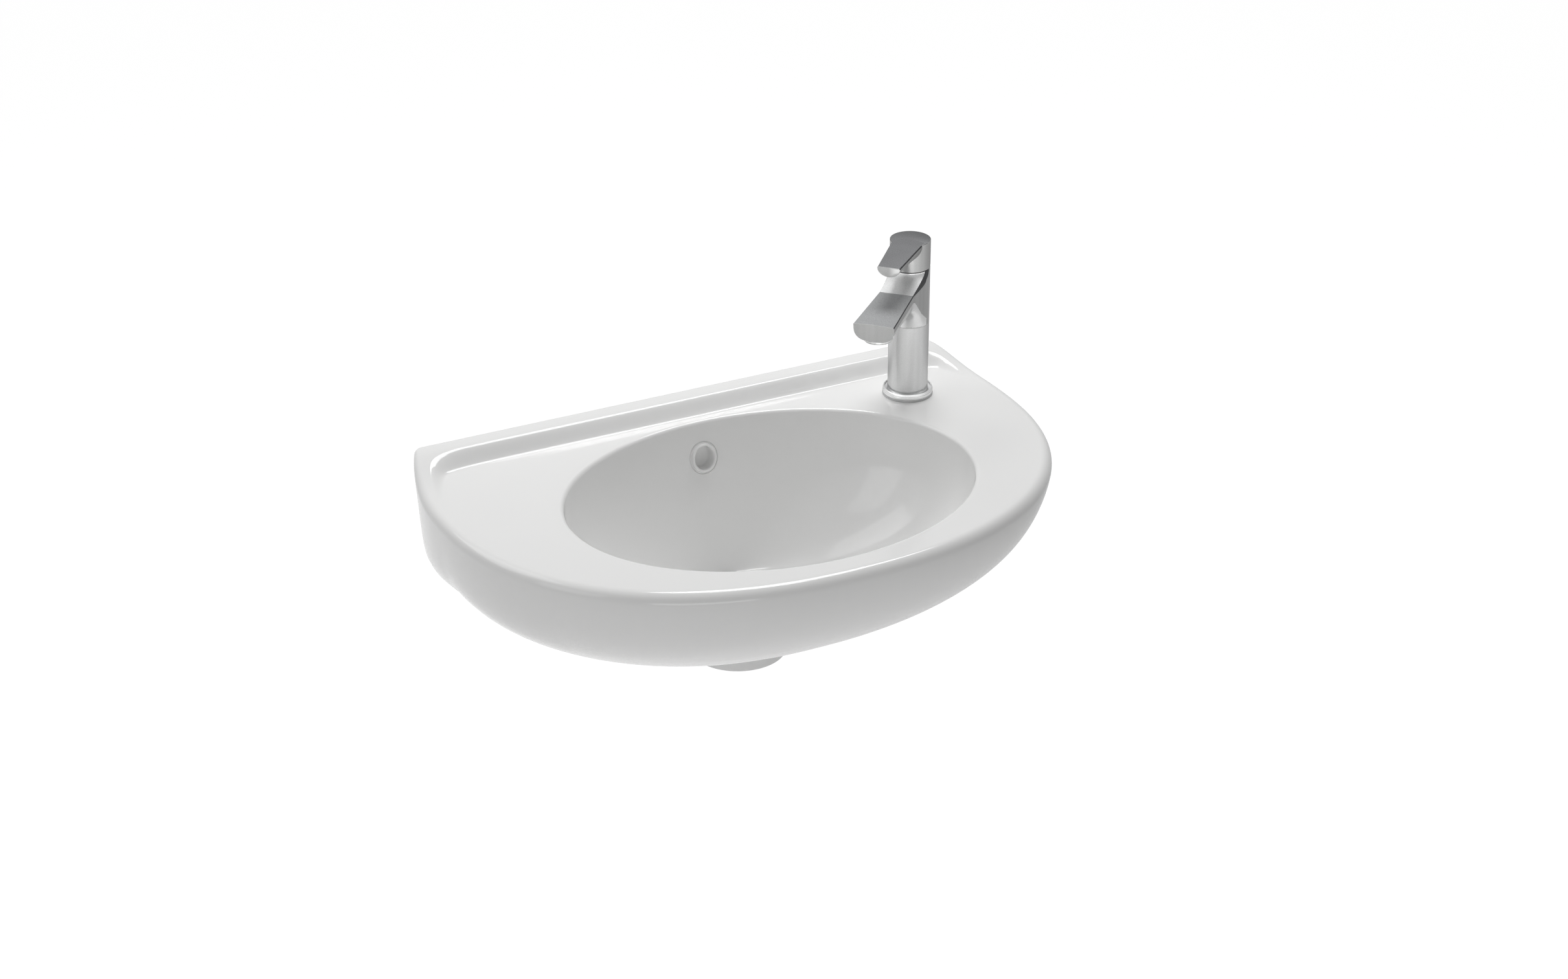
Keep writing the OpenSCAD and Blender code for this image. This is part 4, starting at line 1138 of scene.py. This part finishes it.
@dataclass
class TapBody:
    """The column with the spout that grows out of it."""

    place: TapPlace = field(default_factory=TapPlace)
    column_r: float = 19.75
    column_h: float = 134.6
    gasket_t: float = 2.4
    seam_z: float = 77.0
    seam_w: float = 0.35
    seam_depth: float = 0.3
    spout_reach: float = 122.5
    spout_z: float = 124.0
    spout_root: float = 3.0
    side_share: float = 0.985
    fillet_end: float = 0.6
    crease_u: float = 46.0
    neck_w: float = 34.0
    spout_w: float = 39.8
    spout_t: float = 17.5
    underside_drop: float = 5.5
    section_power: float = 2.85
    root_power: float = 14.0
    crown: float = 1.0
    facet_drop: float = 8.5
    facet_start: Point = (1.9, 19.65, 0.0)
    ramp_start: Point = (9.2, 17.5, 0.0)
    edge: float = 0.8
    end_edge: float = 0.2
    aerator_u: float = 107.0
    aerator_boss_r: float = 14.0
    aerator_bore_r: float = 12.05
    aerator_l: float = 9.0
    spigot_r: float = 16.5
    spigot_depth: float = 10.0
    bore_r: float = 13.95
    bore_z: float = 106.0
    inlet_v: float = 7.5
    inlet_r: float = 4.6
    stud_u: float = -11.0
    stud_r: float = 4.0

    @property
    def aerator_face(self) -> float:
        """Return the height of the face that the aerator's ring stands against."""
        return self.underside(self.aerator_u - self.aerator_boss_r) - 0.15

    def top_z(self, u: float, v: float) -> float:
        """Return the height of the neck's ramp and the spout's flat top.

        Args:
            u: Distance along the spout.
            v: Distance to its side.

        Returns:
            The height in millimetres.
        """
        c = math.sqrt(max(self.column_r ** 2 - v * v, 0))
        start = self.column_h - 0.4
        if u < c:
            return start
        t = clamp01((u - c) / (self.crease_u - c))
        if t < 1:
            return max(self.spout_z, start - (start - self.spout_z) * math.sqrt(t))
        out = clamp01((u - self.crease_u) / (self.spout_reach - self.crease_u))
        return self.spout_z + self.crown * out * (0.4 - (v / self.half_w(u)) ** 2)

    def underside(self, u: float, v: float = 0.0) -> float:
        """Return the height of the spout's flat rise and of the fillet that hugs the column.

        Args:
            u: Distance along the spout.
            v: Distance to its side.

        Returns:
            The height in millimetres.
        """
        share = clamp01((self.spout_reach - u) / (self.spout_reach - self.crease_u))
        flat = self.spout_z - self.spout_t - self.underside_drop * share
        if u >= self.crease_u:
            return flat
        c = math.sqrt(max(self.column_r ** 2 - v * v, 0))
        reach = min((self.crease_u - u) / (self.crease_u - c), 1.05)
        return flat - (flat - self.seam_z - self.fillet_end) * reach ** 2.2

    def half_w(self, u: float) -> float:
        """Return half the width of the spout."""
        if u >= self.crease_u:
            share = (u - self.crease_u) / (self.spout_reach - self.crease_u)
            return mix(self.neck_w, self.spout_w, share) / 2
        root = clamp01((self.crease_u - u) / (self.crease_u - self.facet_start[0]))
        return mix(self.neck_w / 2, self.facet_start[1], root ** 1.3)

    def flat_w(self, u: float) -> float:
        """Return half the width of the top between the facets."""
        if u >= self.crease_u:
            return self.half_w(u) - self.edge
        if u > self.ramp_start[0]:
            root = (self.crease_u - u) / (self.crease_u - self.ramp_start[0])
            return mix(self.neck_w / 2 - self.edge, self.ramp_start[1], root)
        share = clamp01((u - self.facet_start[0]) / (self.ramp_start[0] - self.facet_start[0]))
        return min(mix(self.facet_start[1], self.ramp_start[1], share), self.half_w(u) - 0.02)

    def facet(self, u: float) -> tuple[float, float]:
        """Return the width and drop of the facet along the top edges."""
        root = clamp01((self.crease_u - u) / (self.crease_u - self.ramp_start[0]))
        drop = mix(self.edge, self.facet_drop, root)
        if u < self.ramp_start[0]:
            share = clamp01((u - self.facet_start[0]) / (self.ramp_start[0] - self.facet_start[0]))
            drop *= max(share, 0.001) ** 0.4
        return self.half_w(u) - self.flat_w(u), drop

    def section(self, u: float, inset: float = 0.0) -> list[Point]:
        """Draw the spout's outline.

        Args:
            u: Distance along the spout.
            inset: How far the outline is pulled in.

        Returns:
            The outline's points.
        """
        w = self.half_w(u) - inset
        facet, drop = self.facet(u)
        flat = w - facet
        points = [(u, v, self.top_z(u, v) - inset) for v in (mix(-flat, flat, i / 24) for i in range(25))]
        side_top = self.top_z(u, flat) - drop - inset
        root = clamp01((self.crease_u - u) / (self.crease_u - self.column_r))
        power = mix(self.section_power, self.root_power, root ** 2)
        for s, depth in rounded_under(power, 40):
            points.append((u, -s * w, side_top - (side_top - self.underside(u, s * w) - inset) * depth))
        return points

    def spout(self) -> bpy.types.Object:
        """Return the neck and the spout as one solid."""
        stations = [mix(self.spout_root, self.crease_u, i / 110) for i in range(111)]
        end = self.spout_reach - self.end_edge
        stations += [mix(self.crease_u, end, (i / 20) ** 0.9) for i in range(1, 21)]
        rings = [self.section(u) for u in stations]
        rings.append(self.section(self.spout_reach, self.end_edge))
        return lofted(rings, "spout_tool")

    def column(self) -> bpy.types.Object:
        """Return the column with its seam and the spigot below it."""
        r, seam = self.column_r, self.seam_z
        d, w = self.seam_depth, self.seam_w
        return turned([
            (0, self.column_h), (r - 0.15, self.column_h), (r, self.column_h - 0.15), (r, seam + w),
            (r - d, seam + w * 0.4), (r - d, seam - w * 0.4), (r, seam - w), (r, self.gasket_t),
            (self.spigot_r, self.gasket_t), (self.spigot_r, -self.spigot_depth + 0.5),
            (self.spigot_r - 0.5, -self.spigot_depth), (0, -self.spigot_depth)], "tap_column", 144)

    def bores(self) -> list[bpy.types.Object]:
        """Return the solids of the bores, in the tap's frame."""
        u, face, low = self.aerator_u, self.aerator_face, -self.spigot_depth - 1
        return [bar(self.bore_r, (0, 0, self.bore_z), (0, 0, self.column_h + 5), 96),
                bar(self.aerator_bore_r, (u, 0, face - 1), (u, 0, face + 10.5), 96),
                bar(self.stud_r, (self.stud_u, 0, low), (self.stud_u, 0, -2))] + [
                    bar(self.inlet_r, (0, v, low), (0, v, 2)) for v in (-self.inlet_v, self.inlet_v)]

    def facet_tool(self, side: int) -> bpy.types.Object:
        """Return the solid that lets a neck facet run on into the column, up to its top."""
        top, out, start = self.column_h + 2, self.column_r + 5, self.top_z(0, 0)
        rings = []
        for i in range(17):
            u = mix(self.facet_start[0] + 0.1, self.ramp_start[0] + 4, i / 16)
            foot = start - self.facet(u)[1]
            corners = [(self.flat_w(u), start), (self.flat_w(u), top), (out, top), (out, foot),
                       (self.half_w(u), foot)]
            rings.append([(u, side * v, z) for v, z in corners[::side]])
        return lofted(rings, "facet_tool")

    def build(self) -> bpy.types.Object:
        """Make the tap's body and return it."""
        body = self.column()
        for side in (-1, 1):
            carve(body, self.facet_tool(side))
        carve(body, self.spout(), Cut.JOIN)
        carve(body, bar(self.aerator_boss_r, (self.aerator_u, 0, self.aerator_face),
                        (self.aerator_u, 0, self.spout_z - 6), 96), Cut.JOIN)
        for tool in self.bores():
            carve(body, tool)
        dress_faces(body, self.finish_of)
        seat(moved(body, self.place.matrix()), Body.BASIN, COLUMN_METAL, "tap_body")
        return body

    def finish_of(self, at: Vector, normal: Vector) -> Finish:
        """Choose the finish of a face: the column's satin chrome, or a copy of it with painted shade, painted
        dark reflection or painted light, by where the face lies.

        Args:
            at: The face's centre in millimetres.
            normal: Its normal.

        Returns:
            The finish.
        """
        u, v, z = at
        # Painted dark reflection on the spout's flat top
        if u > self.crease_u and normal.z > 0.98 and abs(z - self.spout_z) < self.crown:
            return SPOUT_PAINTED_REFLECTION_METAL
        if u > self.facet_start[0] and z > self.seam_z + 1:
            flat, drop = self.flat_w(u), self.facet(u)[1]
            on_facet = flat - 0.05 < abs(v) < self.half_w(u) + 0.05
            # Painted dark reflection on the facets along the top edges
            if on_facet and z > self.top_z(u, flat) - drop - 0.1 and -0.05 < normal.z < 0.97:
                return EDGE_PAINTED_REFLECTION_METAL
            # The spout's end face takes the darker copy with painted shade
            if u > self.spout_reach - 1:
                return BODY_PAINTED_SHADE_METAL
            # Painted shade on the sides of the neck and spout
            if abs(v) > self.half_w(u) * self.side_share:
                return NECK_SIDE_PAINTED_SHADE_METAL
            # Painted light on the spout's underside and the fillet under it
            if normal.z < 0.1:
                return RING_AND_FILLET_PAINTED_LIGHT_METAL
            # Painted highlight on the ramp
            if u < self.crease_u and abs(v) < flat and u > self.ramp_start[0]:
                return RAMP_PAINTED_HIGHLIGHT_METAL
        return COLUMN_METAL


@dataclass
class TapHandle:
    """The cap with the lever that grows out of it."""

    place: TapPlace = field(default_factory=TapPlace)
    radius: float = 19.75
    base: float = 135.4
    top: float = 162.8
    edge: float = 0.25
    inner_r: float = 16.9
    ceiling: float = 144.5
    lever_root: float = 6.0
    lever_reach: float = 74.5
    root_w: float = 31.6
    tip_w: float = 22.4
    tip_t: float = 9.8
    swell: float = 9.0
    section_power: float = 2.0
    lever_edge: Pair = (0.8, 1.2)
    end_edge: float = 0.2
    wedge: float = 24.0
    socket: Point = (7.1, 6.1, 157.5)
    screw_z: float = 151.0
    screw_bore_r: float = 2.5
    stopper_r: float = 4.05
    stopper_in: float = 16.75

    def section(self, t: float, inset: float = 0.0) -> list[Point]:
        """Draw the lever's outline.

        Args:
            t: Share of its length.
            inset: How far the outline is pulled in.

        Returns:
            The outline's points.
        """
        u = mix(self.lever_root, self.lever_reach, t)
        w = mix(self.root_w, self.tip_w, t) / 2 - inset
        low = self.top - self.tip_t - self.swell * (1 - t) ** 1.6 + inset
        top = self.top - inset
        flat = w - self.lever_edge[0]
        points = [(u, mix(-flat, flat, i / 16), top) for i in range(17)]
        side_top = top - self.lever_edge[1]
        for s, depth in rounded_under(self.section_power, 32):
            points.append((u, -s * w, side_top - (side_top - low) * depth))
        return points

    def lever(self) -> bpy.types.Object:
        """Return the lever as one solid."""
        near_tip = 1 - self.end_edge / (self.lever_reach - self.lever_root)
        rings = [self.section(near_tip * i / 28) for i in range(29)]
        rings.append(self.section(1.0, self.end_edge))
        return lofted(rings, "lever_tool")

    def cap(self) -> bpy.types.Object:
        """Return the cap with its rounded edges."""
        r, e = self.radius, self.edge
        return turned([
            (0, self.top), (r - e, self.top), (r - e * 0.3, self.top - e * 0.3), (r, self.top - e),
            (r, self.base + 0.15), (r - 0.15, self.base), (self.inner_r + 0.3, self.base),
            (self.inner_r, self.base + 0.3), (self.inner_r, self.ceiling), (0, self.ceiling)],
            "tap_handle", 144)

    def wedge_tool(self) -> bpy.types.Object:
        """Return the solid that bevels the back of the cap's foot, so that the lever can lift."""
        size = 40.0
        tool = block((-size, 0), (-size, size), (-size, 0), "wedge_tool")
        return moved(tool, Matrix.Translation((0, 0, self.base * MM)) @ turn(self.wedge, "Y"))

    def build(self) -> bpy.types.Object:
        """Make the handle and return it."""
        handle, lever = self.cap(), self.lever()
        carve(lever, bar(self.inner_r, (0, 0, self.base - 5), (0, 0, self.ceiling), 144))
        carve(handle, lever, Cut.JOIN)
        u, v, roof = self.socket
        back = (-30, 0, self.screw_z)
        for tool in (
                self.wedge_tool(),
                block((-u / 2, u / 2), (-v / 2, v / 2), (self.ceiling - 1, roof), "socket_tool"),
                bar(self.stopper_r, (-self.stopper_in, 0, self.screw_z), back),
                bar(self.screw_bore_r, (-3, 0, self.screw_z), back, 32)):
            carve(handle, tool)
        dress_faces(handle, self.finish_of)
        seat(moved(handle, self.place.matrix()), Body.HANDLE, BODY_PAINTED_SHADE_METAL, "handle")
        return handle

    def finish_of(self, at: Vector, normal: Vector) -> Finish:
        """Choose the finish of a face: a copy of the satin chrome with painted dark reflection on the flat
        top and edge facets, and painted shade elsewhere.

        Args:
            at: The face's centre in millimetres.
            normal: Its normal.

        Returns:
            The finish.
        """
        u, v, z = at
        # Painted dark reflection on the flat top of the cap and lever
        if normal.z > 0.98 and z > self.top - 0.3:
            return TOP_PAINTED_REFLECTION_METAL
        w = mix(self.root_w, self.tip_w, (u - self.lever_root) / (self.lever_reach - self.lever_root)) / 2
        on_edge = abs(v) > w - self.lever_edge[0] - 0.05 and z > self.top - self.lever_edge[1] - 0.05
        # Painted dark reflection on the lever's edge facets, painted shade on the rest
        return EDGE_PAINTED_REFLECTION_METAL if u > self.lever_root and on_edge and 0.15 < normal.z < 0.97 else BODY_PAINTED_SHADE_METAL


@dataclass
class TapTrim:
    """The round pieces on the tap: the ring and the gasket at its foot, and the aerator's ring."""

    tap: TapBody = field(default_factory=TapBody)
    ring_r: float = 24.3
    ring_h: float = 5.3
    ring_foot: float = 0.3
    ring_taper: float = 0.5
    ring_rim: float = 1.6
    ring_floor: float = 3.4
    groove: Point = (2.68, 3.18, 0.5)
    gasket_r: float = 24.7
    gasket_bore: float = 16.7
    aerator_lip: float = 1.4
    aerator_wall: float = 2.0

    def base_ring(self) -> bpy.types.Object:
        """Return the cupped ring with the groove round its wall."""
        r, h, bore = self.ring_r, self.ring_h, self.tap.column_r + 0.05
        low, high, deep = self.groove
        wall, cup = r + self.ring_foot, r - self.ring_rim
        profile = [(bore, 0), (wall, 0), (wall, low), (wall - deep, low), (wall - deep, high), (wall, high),
                   (r - self.ring_taper, h), (cup, h), (cup, self.ring_floor), (bore, self.ring_floor)]
        return turned([(p, z + self.tap.gasket_t) for p, z in profile], "tap_ring", 144, 0.14)

    def gasket(self) -> bpy.types.Object:
        """Return the gasket under the ring."""
        bore, r, top = self.gasket_bore, self.gasket_r, self.tap.gasket_t
        return turned([(bore, 0), (r, 0), (r, top), (bore, top)], "tap_gasket", 144, 0.3)

    def aerator(self) -> bpy.types.Object:
        """Return the ring that holds the aerator under the spout."""
        tap, lip = self.tap, -self.aerator_lip
        lip_r, r = tap.aerator_boss_r - 0.8, tap.aerator_bore_r - 0.05
        bore, top = r - self.aerator_wall, tap.aerator_l
        ring = turned([(bore, lip), (lip_r, lip), (lip_r, 0), (r, 0), (r, top), (bore, top)],
                      "aerator_ring", 96, 0.3)
        return moved(ring, shift(tap.aerator_u, 0, tap.aerator_face))

    def build(self) -> None:
        """Make the three pieces."""
        # The base ring takes painted light, the aerator's ring painted shade
        for piece, finish, node in (
                (self.base_ring(), RING_AND_FILLET_PAINTED_LIGHT_METAL, "base_ring"), (self.gasket(), GASKET, "base_gasket"),
                (self.aerator(), BODY_PAINTED_SHADE_METAL, "aerator_housing")):
            seat(moved(piece, self.tap.place.matrix()), Body.BASIN, finish, node)


# ---- waste ------------------------------------------------------------------------------------


@dataclass
class Waste:
    """The waste with its flange and thread, the nut and seal that hold it, and the plug's cover."""

    y: float = 122.0
    flange_r: float = 32.0
    flange_top: float = -144.5
    flange_t: float = 3.0
    flange_slope: float = 1.5
    tube_r: float = 20.955
    bore_r: float = 17.5
    tail_z: float = -218.0
    thread_top: float = -209.0
    thread_pitch: float = 2.3
    thread_deep: float = 0.8
    slot: Pair = (12.0, 15.0)
    slot_z: float = -166.0
    web_z: float = -192.0
    web_h: float = 6.0
    web_t: float = 3.0
    hub_r: float = 7.5
    nut_z: float = -209.0
    nut_h: float = 8.0
    nut_r: float = 33.5
    seal_top_r: float = 29.5
    seal_h: float = 4.0
    cover_r: float = 30.0
    cover_edge: float = 1.2
    cover_rise: float = 3.4
    skirt_r: float = 16.1
    skirt_l: float = 7.0
    cover_gap: float = 0.3
    grips: int = 8
    grip_r: float = 2.6
    grip_out: float = 1.2

    def body(self) -> bpy.types.Object:
        """Return the flange and the threaded tube, with its slots and the web that carries the plug."""
        r, bore, top = self.tube_r, self.bore_r, self.flange_top
        profile = [(bore, self.tail_z), (r - self.thread_deep, self.tail_z)]
        turns = int((self.thread_top - self.tail_z) / self.thread_pitch)
        for k in range(turns):
            z = self.tail_z + 0.2 + k * self.thread_pitch
            profile += [(r, z + 0.85), (r, z + 1.15), (r - self.thread_deep, z + 2.0)]
        under, wide = top - self.flange_t, self.flange_r
        profile += [(r - self.thread_deep, self.thread_top), (r, self.thread_top + 0.8), (r, under),
                    (wide, under), (wide - 0.2, under + 0.8), (wide - self.flange_slope, top - 0.25),
                    (wide - self.flange_slope - 0.6, top), (bore + 1.2, top), (bore + 0.3, top - 0.35),
                    (bore, top - 1.2)]
        body = turned(profile, "waste_flange", 128)
        wide, tall = self.slot
        for k in range(4):
            hole = block((bore - 3, r + 2), (-wide / 2, wide / 2),
                         (self.slot_z - tall / 2, self.slot_z + tall / 2), "slot_tool")
            carve(body, moved(hole, turn(90 * k, "Z")))
        web_top = self.web_z + self.web_h
        carve(body, bar(self.hub_r, (0, 0, self.web_z), (0, 0, web_top)), Cut.JOIN)
        for k in range(3):
            web = block((0, bore + 1), (-self.web_t / 2, self.web_t / 2), (self.web_z, web_top), "web_tool")
            carve(body, moved(web, turn(30 + 120 * k, "Z")), Cut.JOIN)
        return body

    def nut(self) -> bpy.types.Object:
        """Return the plastic nut with its finger grips."""
        bore, r, low, high = self.tube_r + 0.05, self.nut_r, self.nut_z, self.nut_z + self.nut_h
        nut = turned([(bore, low), (r, low), (r, high), (bore, high)], "waste_nut", 128, 0.5)
        for f in around(self.grips):
            x, y = (r + self.grip_out) * math.cos(f), (r + self.grip_out) * math.sin(f)
            carve(nut, bar(self.grip_r, (x, y, low - 1), (x, y, high - 2), 32))
        return nut

    def seal(self) -> bpy.types.Object:
        """Return the tapered seal above the nut."""
        bore, low = self.tube_r + 0.05, self.nut_z + self.nut_h
        return turned([(bore, low), (self.nut_r - 1, low), (self.seal_top_r, low + self.seal_h),
                       (bore, low + self.seal_h)], "waste_seal", 96, 0.3)

    def cover(self) -> bpy.types.Object:
        """Return the plug's domed cover with its skirt."""
        base = self.flange_top + self.cover_gap
        profile = [(0, -self.skirt_l), (self.skirt_r, -self.skirt_l), (self.skirt_r, 0),
                   (self.cover_r - 0.3, 0), (self.cover_r, 0.3)]
        profile += [(self.cover_r * math.cos(f),
                     self.cover_edge + (self.cover_rise - self.cover_edge) * math.sin(f))
                    for f in sweep(0, 90, 18)]
        return turned([(r, z + base) for r, z in profile], "plug_dome", 128)

    def build(self) -> None:
        """Make the four pieces."""
        for piece, finish, body, node in (
                (self.body(), POLISHED, Body.BASIN, "waste_body"),
                (self.nut(), PLASTIC, Body.BASIN, "waste_backnut"),
                (self.seal(), SEAL, Body.BASIN, "waste_lower_seal"),
                (self.cover(), POLISHED, Body.PLUG, "plug_cover")):
            seat(moved(piece, shift(0, -self.y, 0)), body, finish, node)


# ---- CAD nodes that stay ----------------------------------------------------------------------


class CarriedNodes:
    """The CAD nodes whose shape is right, and their finishes."""

    def __init__(self, frame: dict) -> None:
        """Keep the frame's nodes and the record's slot of each.
        """
        self.nodes = frame["nodes"]
        self.slots = {part["node"]: Slot(part["material_slot"]) for part in frame["record"]["subparts"]}

    def dress_all(self) -> None:
        """Dress each node by its slot."""
        for name, node in sorted(self.nodes.items()):
            finish = NODE_FINISHES[self.slots[name]]
            dress(node, finish)
            LOG.info("%s: CAD node in %s", name, finish.name)


# ---- studio -----------------------------------------------------------------------------------


@dataclass(frozen=True)
class SoftLamp:
    """A rectangular soft lamp that looks at a point."""

    name: str
    place: Point
    aim: Point
    size: Pair
    watts: float
    mirrored: bool = True

    def build(self) -> None:
        """Hang the lamp."""
        data = bpy.data.lights.new(self.name, "AREA")
        data.shape = "RECTANGLE"
        data.size, data.size_y = self.size
        data.energy = self.watts
        lamp = bpy.data.objects.new(self.name, data)
        lamp.visible_glossy = self.mirrored
        lamp.location = self.place
        lamp.rotation_euler = (Vector(self.aim) - Vector(self.place)).to_track_quat("-Z", "Y").to_euler()
        bpy.context.scene.collection.objects.link(lamp)


@dataclass
class Studio:
    """Camera, floor, world and lamps."""

    floor_z: float = -0.84
    floor_white: float = 1.12
    floor_share: float = 0.85
    eye: Point = (-1.1556, -2.4825, 1.3089)
    azimuth: float = -27.0605
    elevation: float = 27.1336
    lens: float = 71.37
    ambient: float = 0.285
    dark_side: Point = (0.94, 0.34, 0.0)
    dim_span: Pair = (0.1, 0.85)
    dim_white: float = 0.55
    lamps: tuple[SoftLamp, ...] = (
        SoftLamp("high", (0.62, 0.45, 2.0), (0, -0.15, -0.03), (1.0, 1.0), 25.0),
        SoftLamp("back_left", (-1.3, 0.85, 1.55), (0, -0.15, -0.03), (1.4, 1.4), 8.0),
        SoftLamp("back", (0.0, 1.5, 1.6), (0, -0.15, -0.03), (1.2, 1.2), 7.0, mirrored=False),
        SoftLamp("left", (-2.2, -0.8, 0.8), (0, -0.15, -0.03), (1.2, 1.2), 4.5),
        SoftLamp("low_front", (-0.8, -2.2, -0.4), (0, -0.15, -0.03), (1.4, 0.6), 4.8),
    )

    def camera(self) -> None:
        """Set the camera at the photograph's place."""
        data = bpy.data.cameras.new("camera")
        data.sensor_width = 36.0
        data.lens = self.lens
        data.clip_start, data.clip_end = 0.05, 50.0
        camera = bpy.data.objects.new("camera", data)
        camera.location = self.eye
        camera.rotation_euler = (math.radians(90 - self.elevation), 0, math.radians(self.azimuth))
        bpy.context.scene.collection.objects.link(camera)
        bpy.context.scene.camera = camera

    def floor(self) -> None:
        """Lay the floor, which shows white to the camera where no shadow falls."""
        mesh = bmesh.new()
        bmesh.ops.create_grid(mesh, x_segments=2, y_segments=2, size=20.0)
        bmesh.ops.translate(mesh, vec=(0, 0, self.floor_z), verts=mesh.verts)
        floor = finish_mesh(mesh, "floor")
        board = FinishBoard("pale_floor")
        board.feed("Base Color", board.tint(board.noise(2.0, 2.0), (0.86,) * 3, (0.88,) * 3))
        board.value("Roughness", 0.9)
        board.value("Specular IOR Level", 0.1)
        bright = board.sum_of("MULTIPLY", self.dimmed_white(board), self.floor_white)
        glow = board.add("ShaderNodeEmission", "Emission", {"Strength": bright})
        share = board.sum_of("MULTIPLY", board.seen_or_mirrored(), self.floor_share)
        board.either(share, board.shader.outputs["BSDF"], glow, "Material Output")
        floor.data.materials.append(board.material)

    def world(self) -> None:
        """Light the scene softly from all round, in front of a white background."""
        world = bpy.data.worlds.new("studio")
        world.use_nodes = True
        bpy.context.scene.world = world
        board = NodeBoard(world.node_tree)
        soft = world.node_tree.nodes["Background"]
        soft.inputs["Color"].default_value = (1, 1, 1, 1)
        soft.inputs["Strength"].default_value = self.ambient
        white = board.add("ShaderNodeBackground", "Background", {
            "Color": (1, 1, 1, 1), "Strength": self.dimmed_white(board)})
        board.either(board.seen_or_mirrored(), soft.outputs["Background"], white, "World Output")

    def dimmed_white(self, board: NodeBoard) -> Socket:
        """Make the white that the camera and the mirroring surfaces see.

        Args:
            board: The node tree that needs it.

        Returns:
            1 for camera rays, and for mirrored rays a white that dims towards the dark side.
        """
        place = board.add("ShaderNodeNewGeometry", "Position")
        way = board.add("ShaderNodeVectorMath", "Vector", {0: place}, operation="NORMALIZE")
        dot = board.add("ShaderNodeVectorMath", "Value", {0: way, 1: self.dark_side},
                        operation="DOT_PRODUCT")
        shade = board.ranged(dot, self.dim_span, 1.0, self.dim_white)
        return board.sum_of("MAXIMUM", shade, board.add("ShaderNodeLightPath", "Is Camera Ray"))

    def build(self) -> None:
        """Set up the studio."""
        bpy.context.scene.view_settings.view_transform = "Standard"
        self.camera()
        self.floor()
        self.world()
        for lamp in self.lamps:
            lamp.build()
        LOG.info("studio: %d lamps", len(self.lamps))


def main() -> None:
    """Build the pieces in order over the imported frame."""
    logging.basicConfig(level=logging.INFO, format="%(name)s: %(message)s")
    for leftover in list(bpy.data.objects):
        bpy.data.objects.remove(leftover)
    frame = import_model()
    Studio().build()
    CarriedNodes(frame).dress_all()
    BasinBody().build()
    TapBody().build()
    TapHandle().build()
    TapTrim().build()
    Waste().build()


if __name__ == "__main__":
    main()
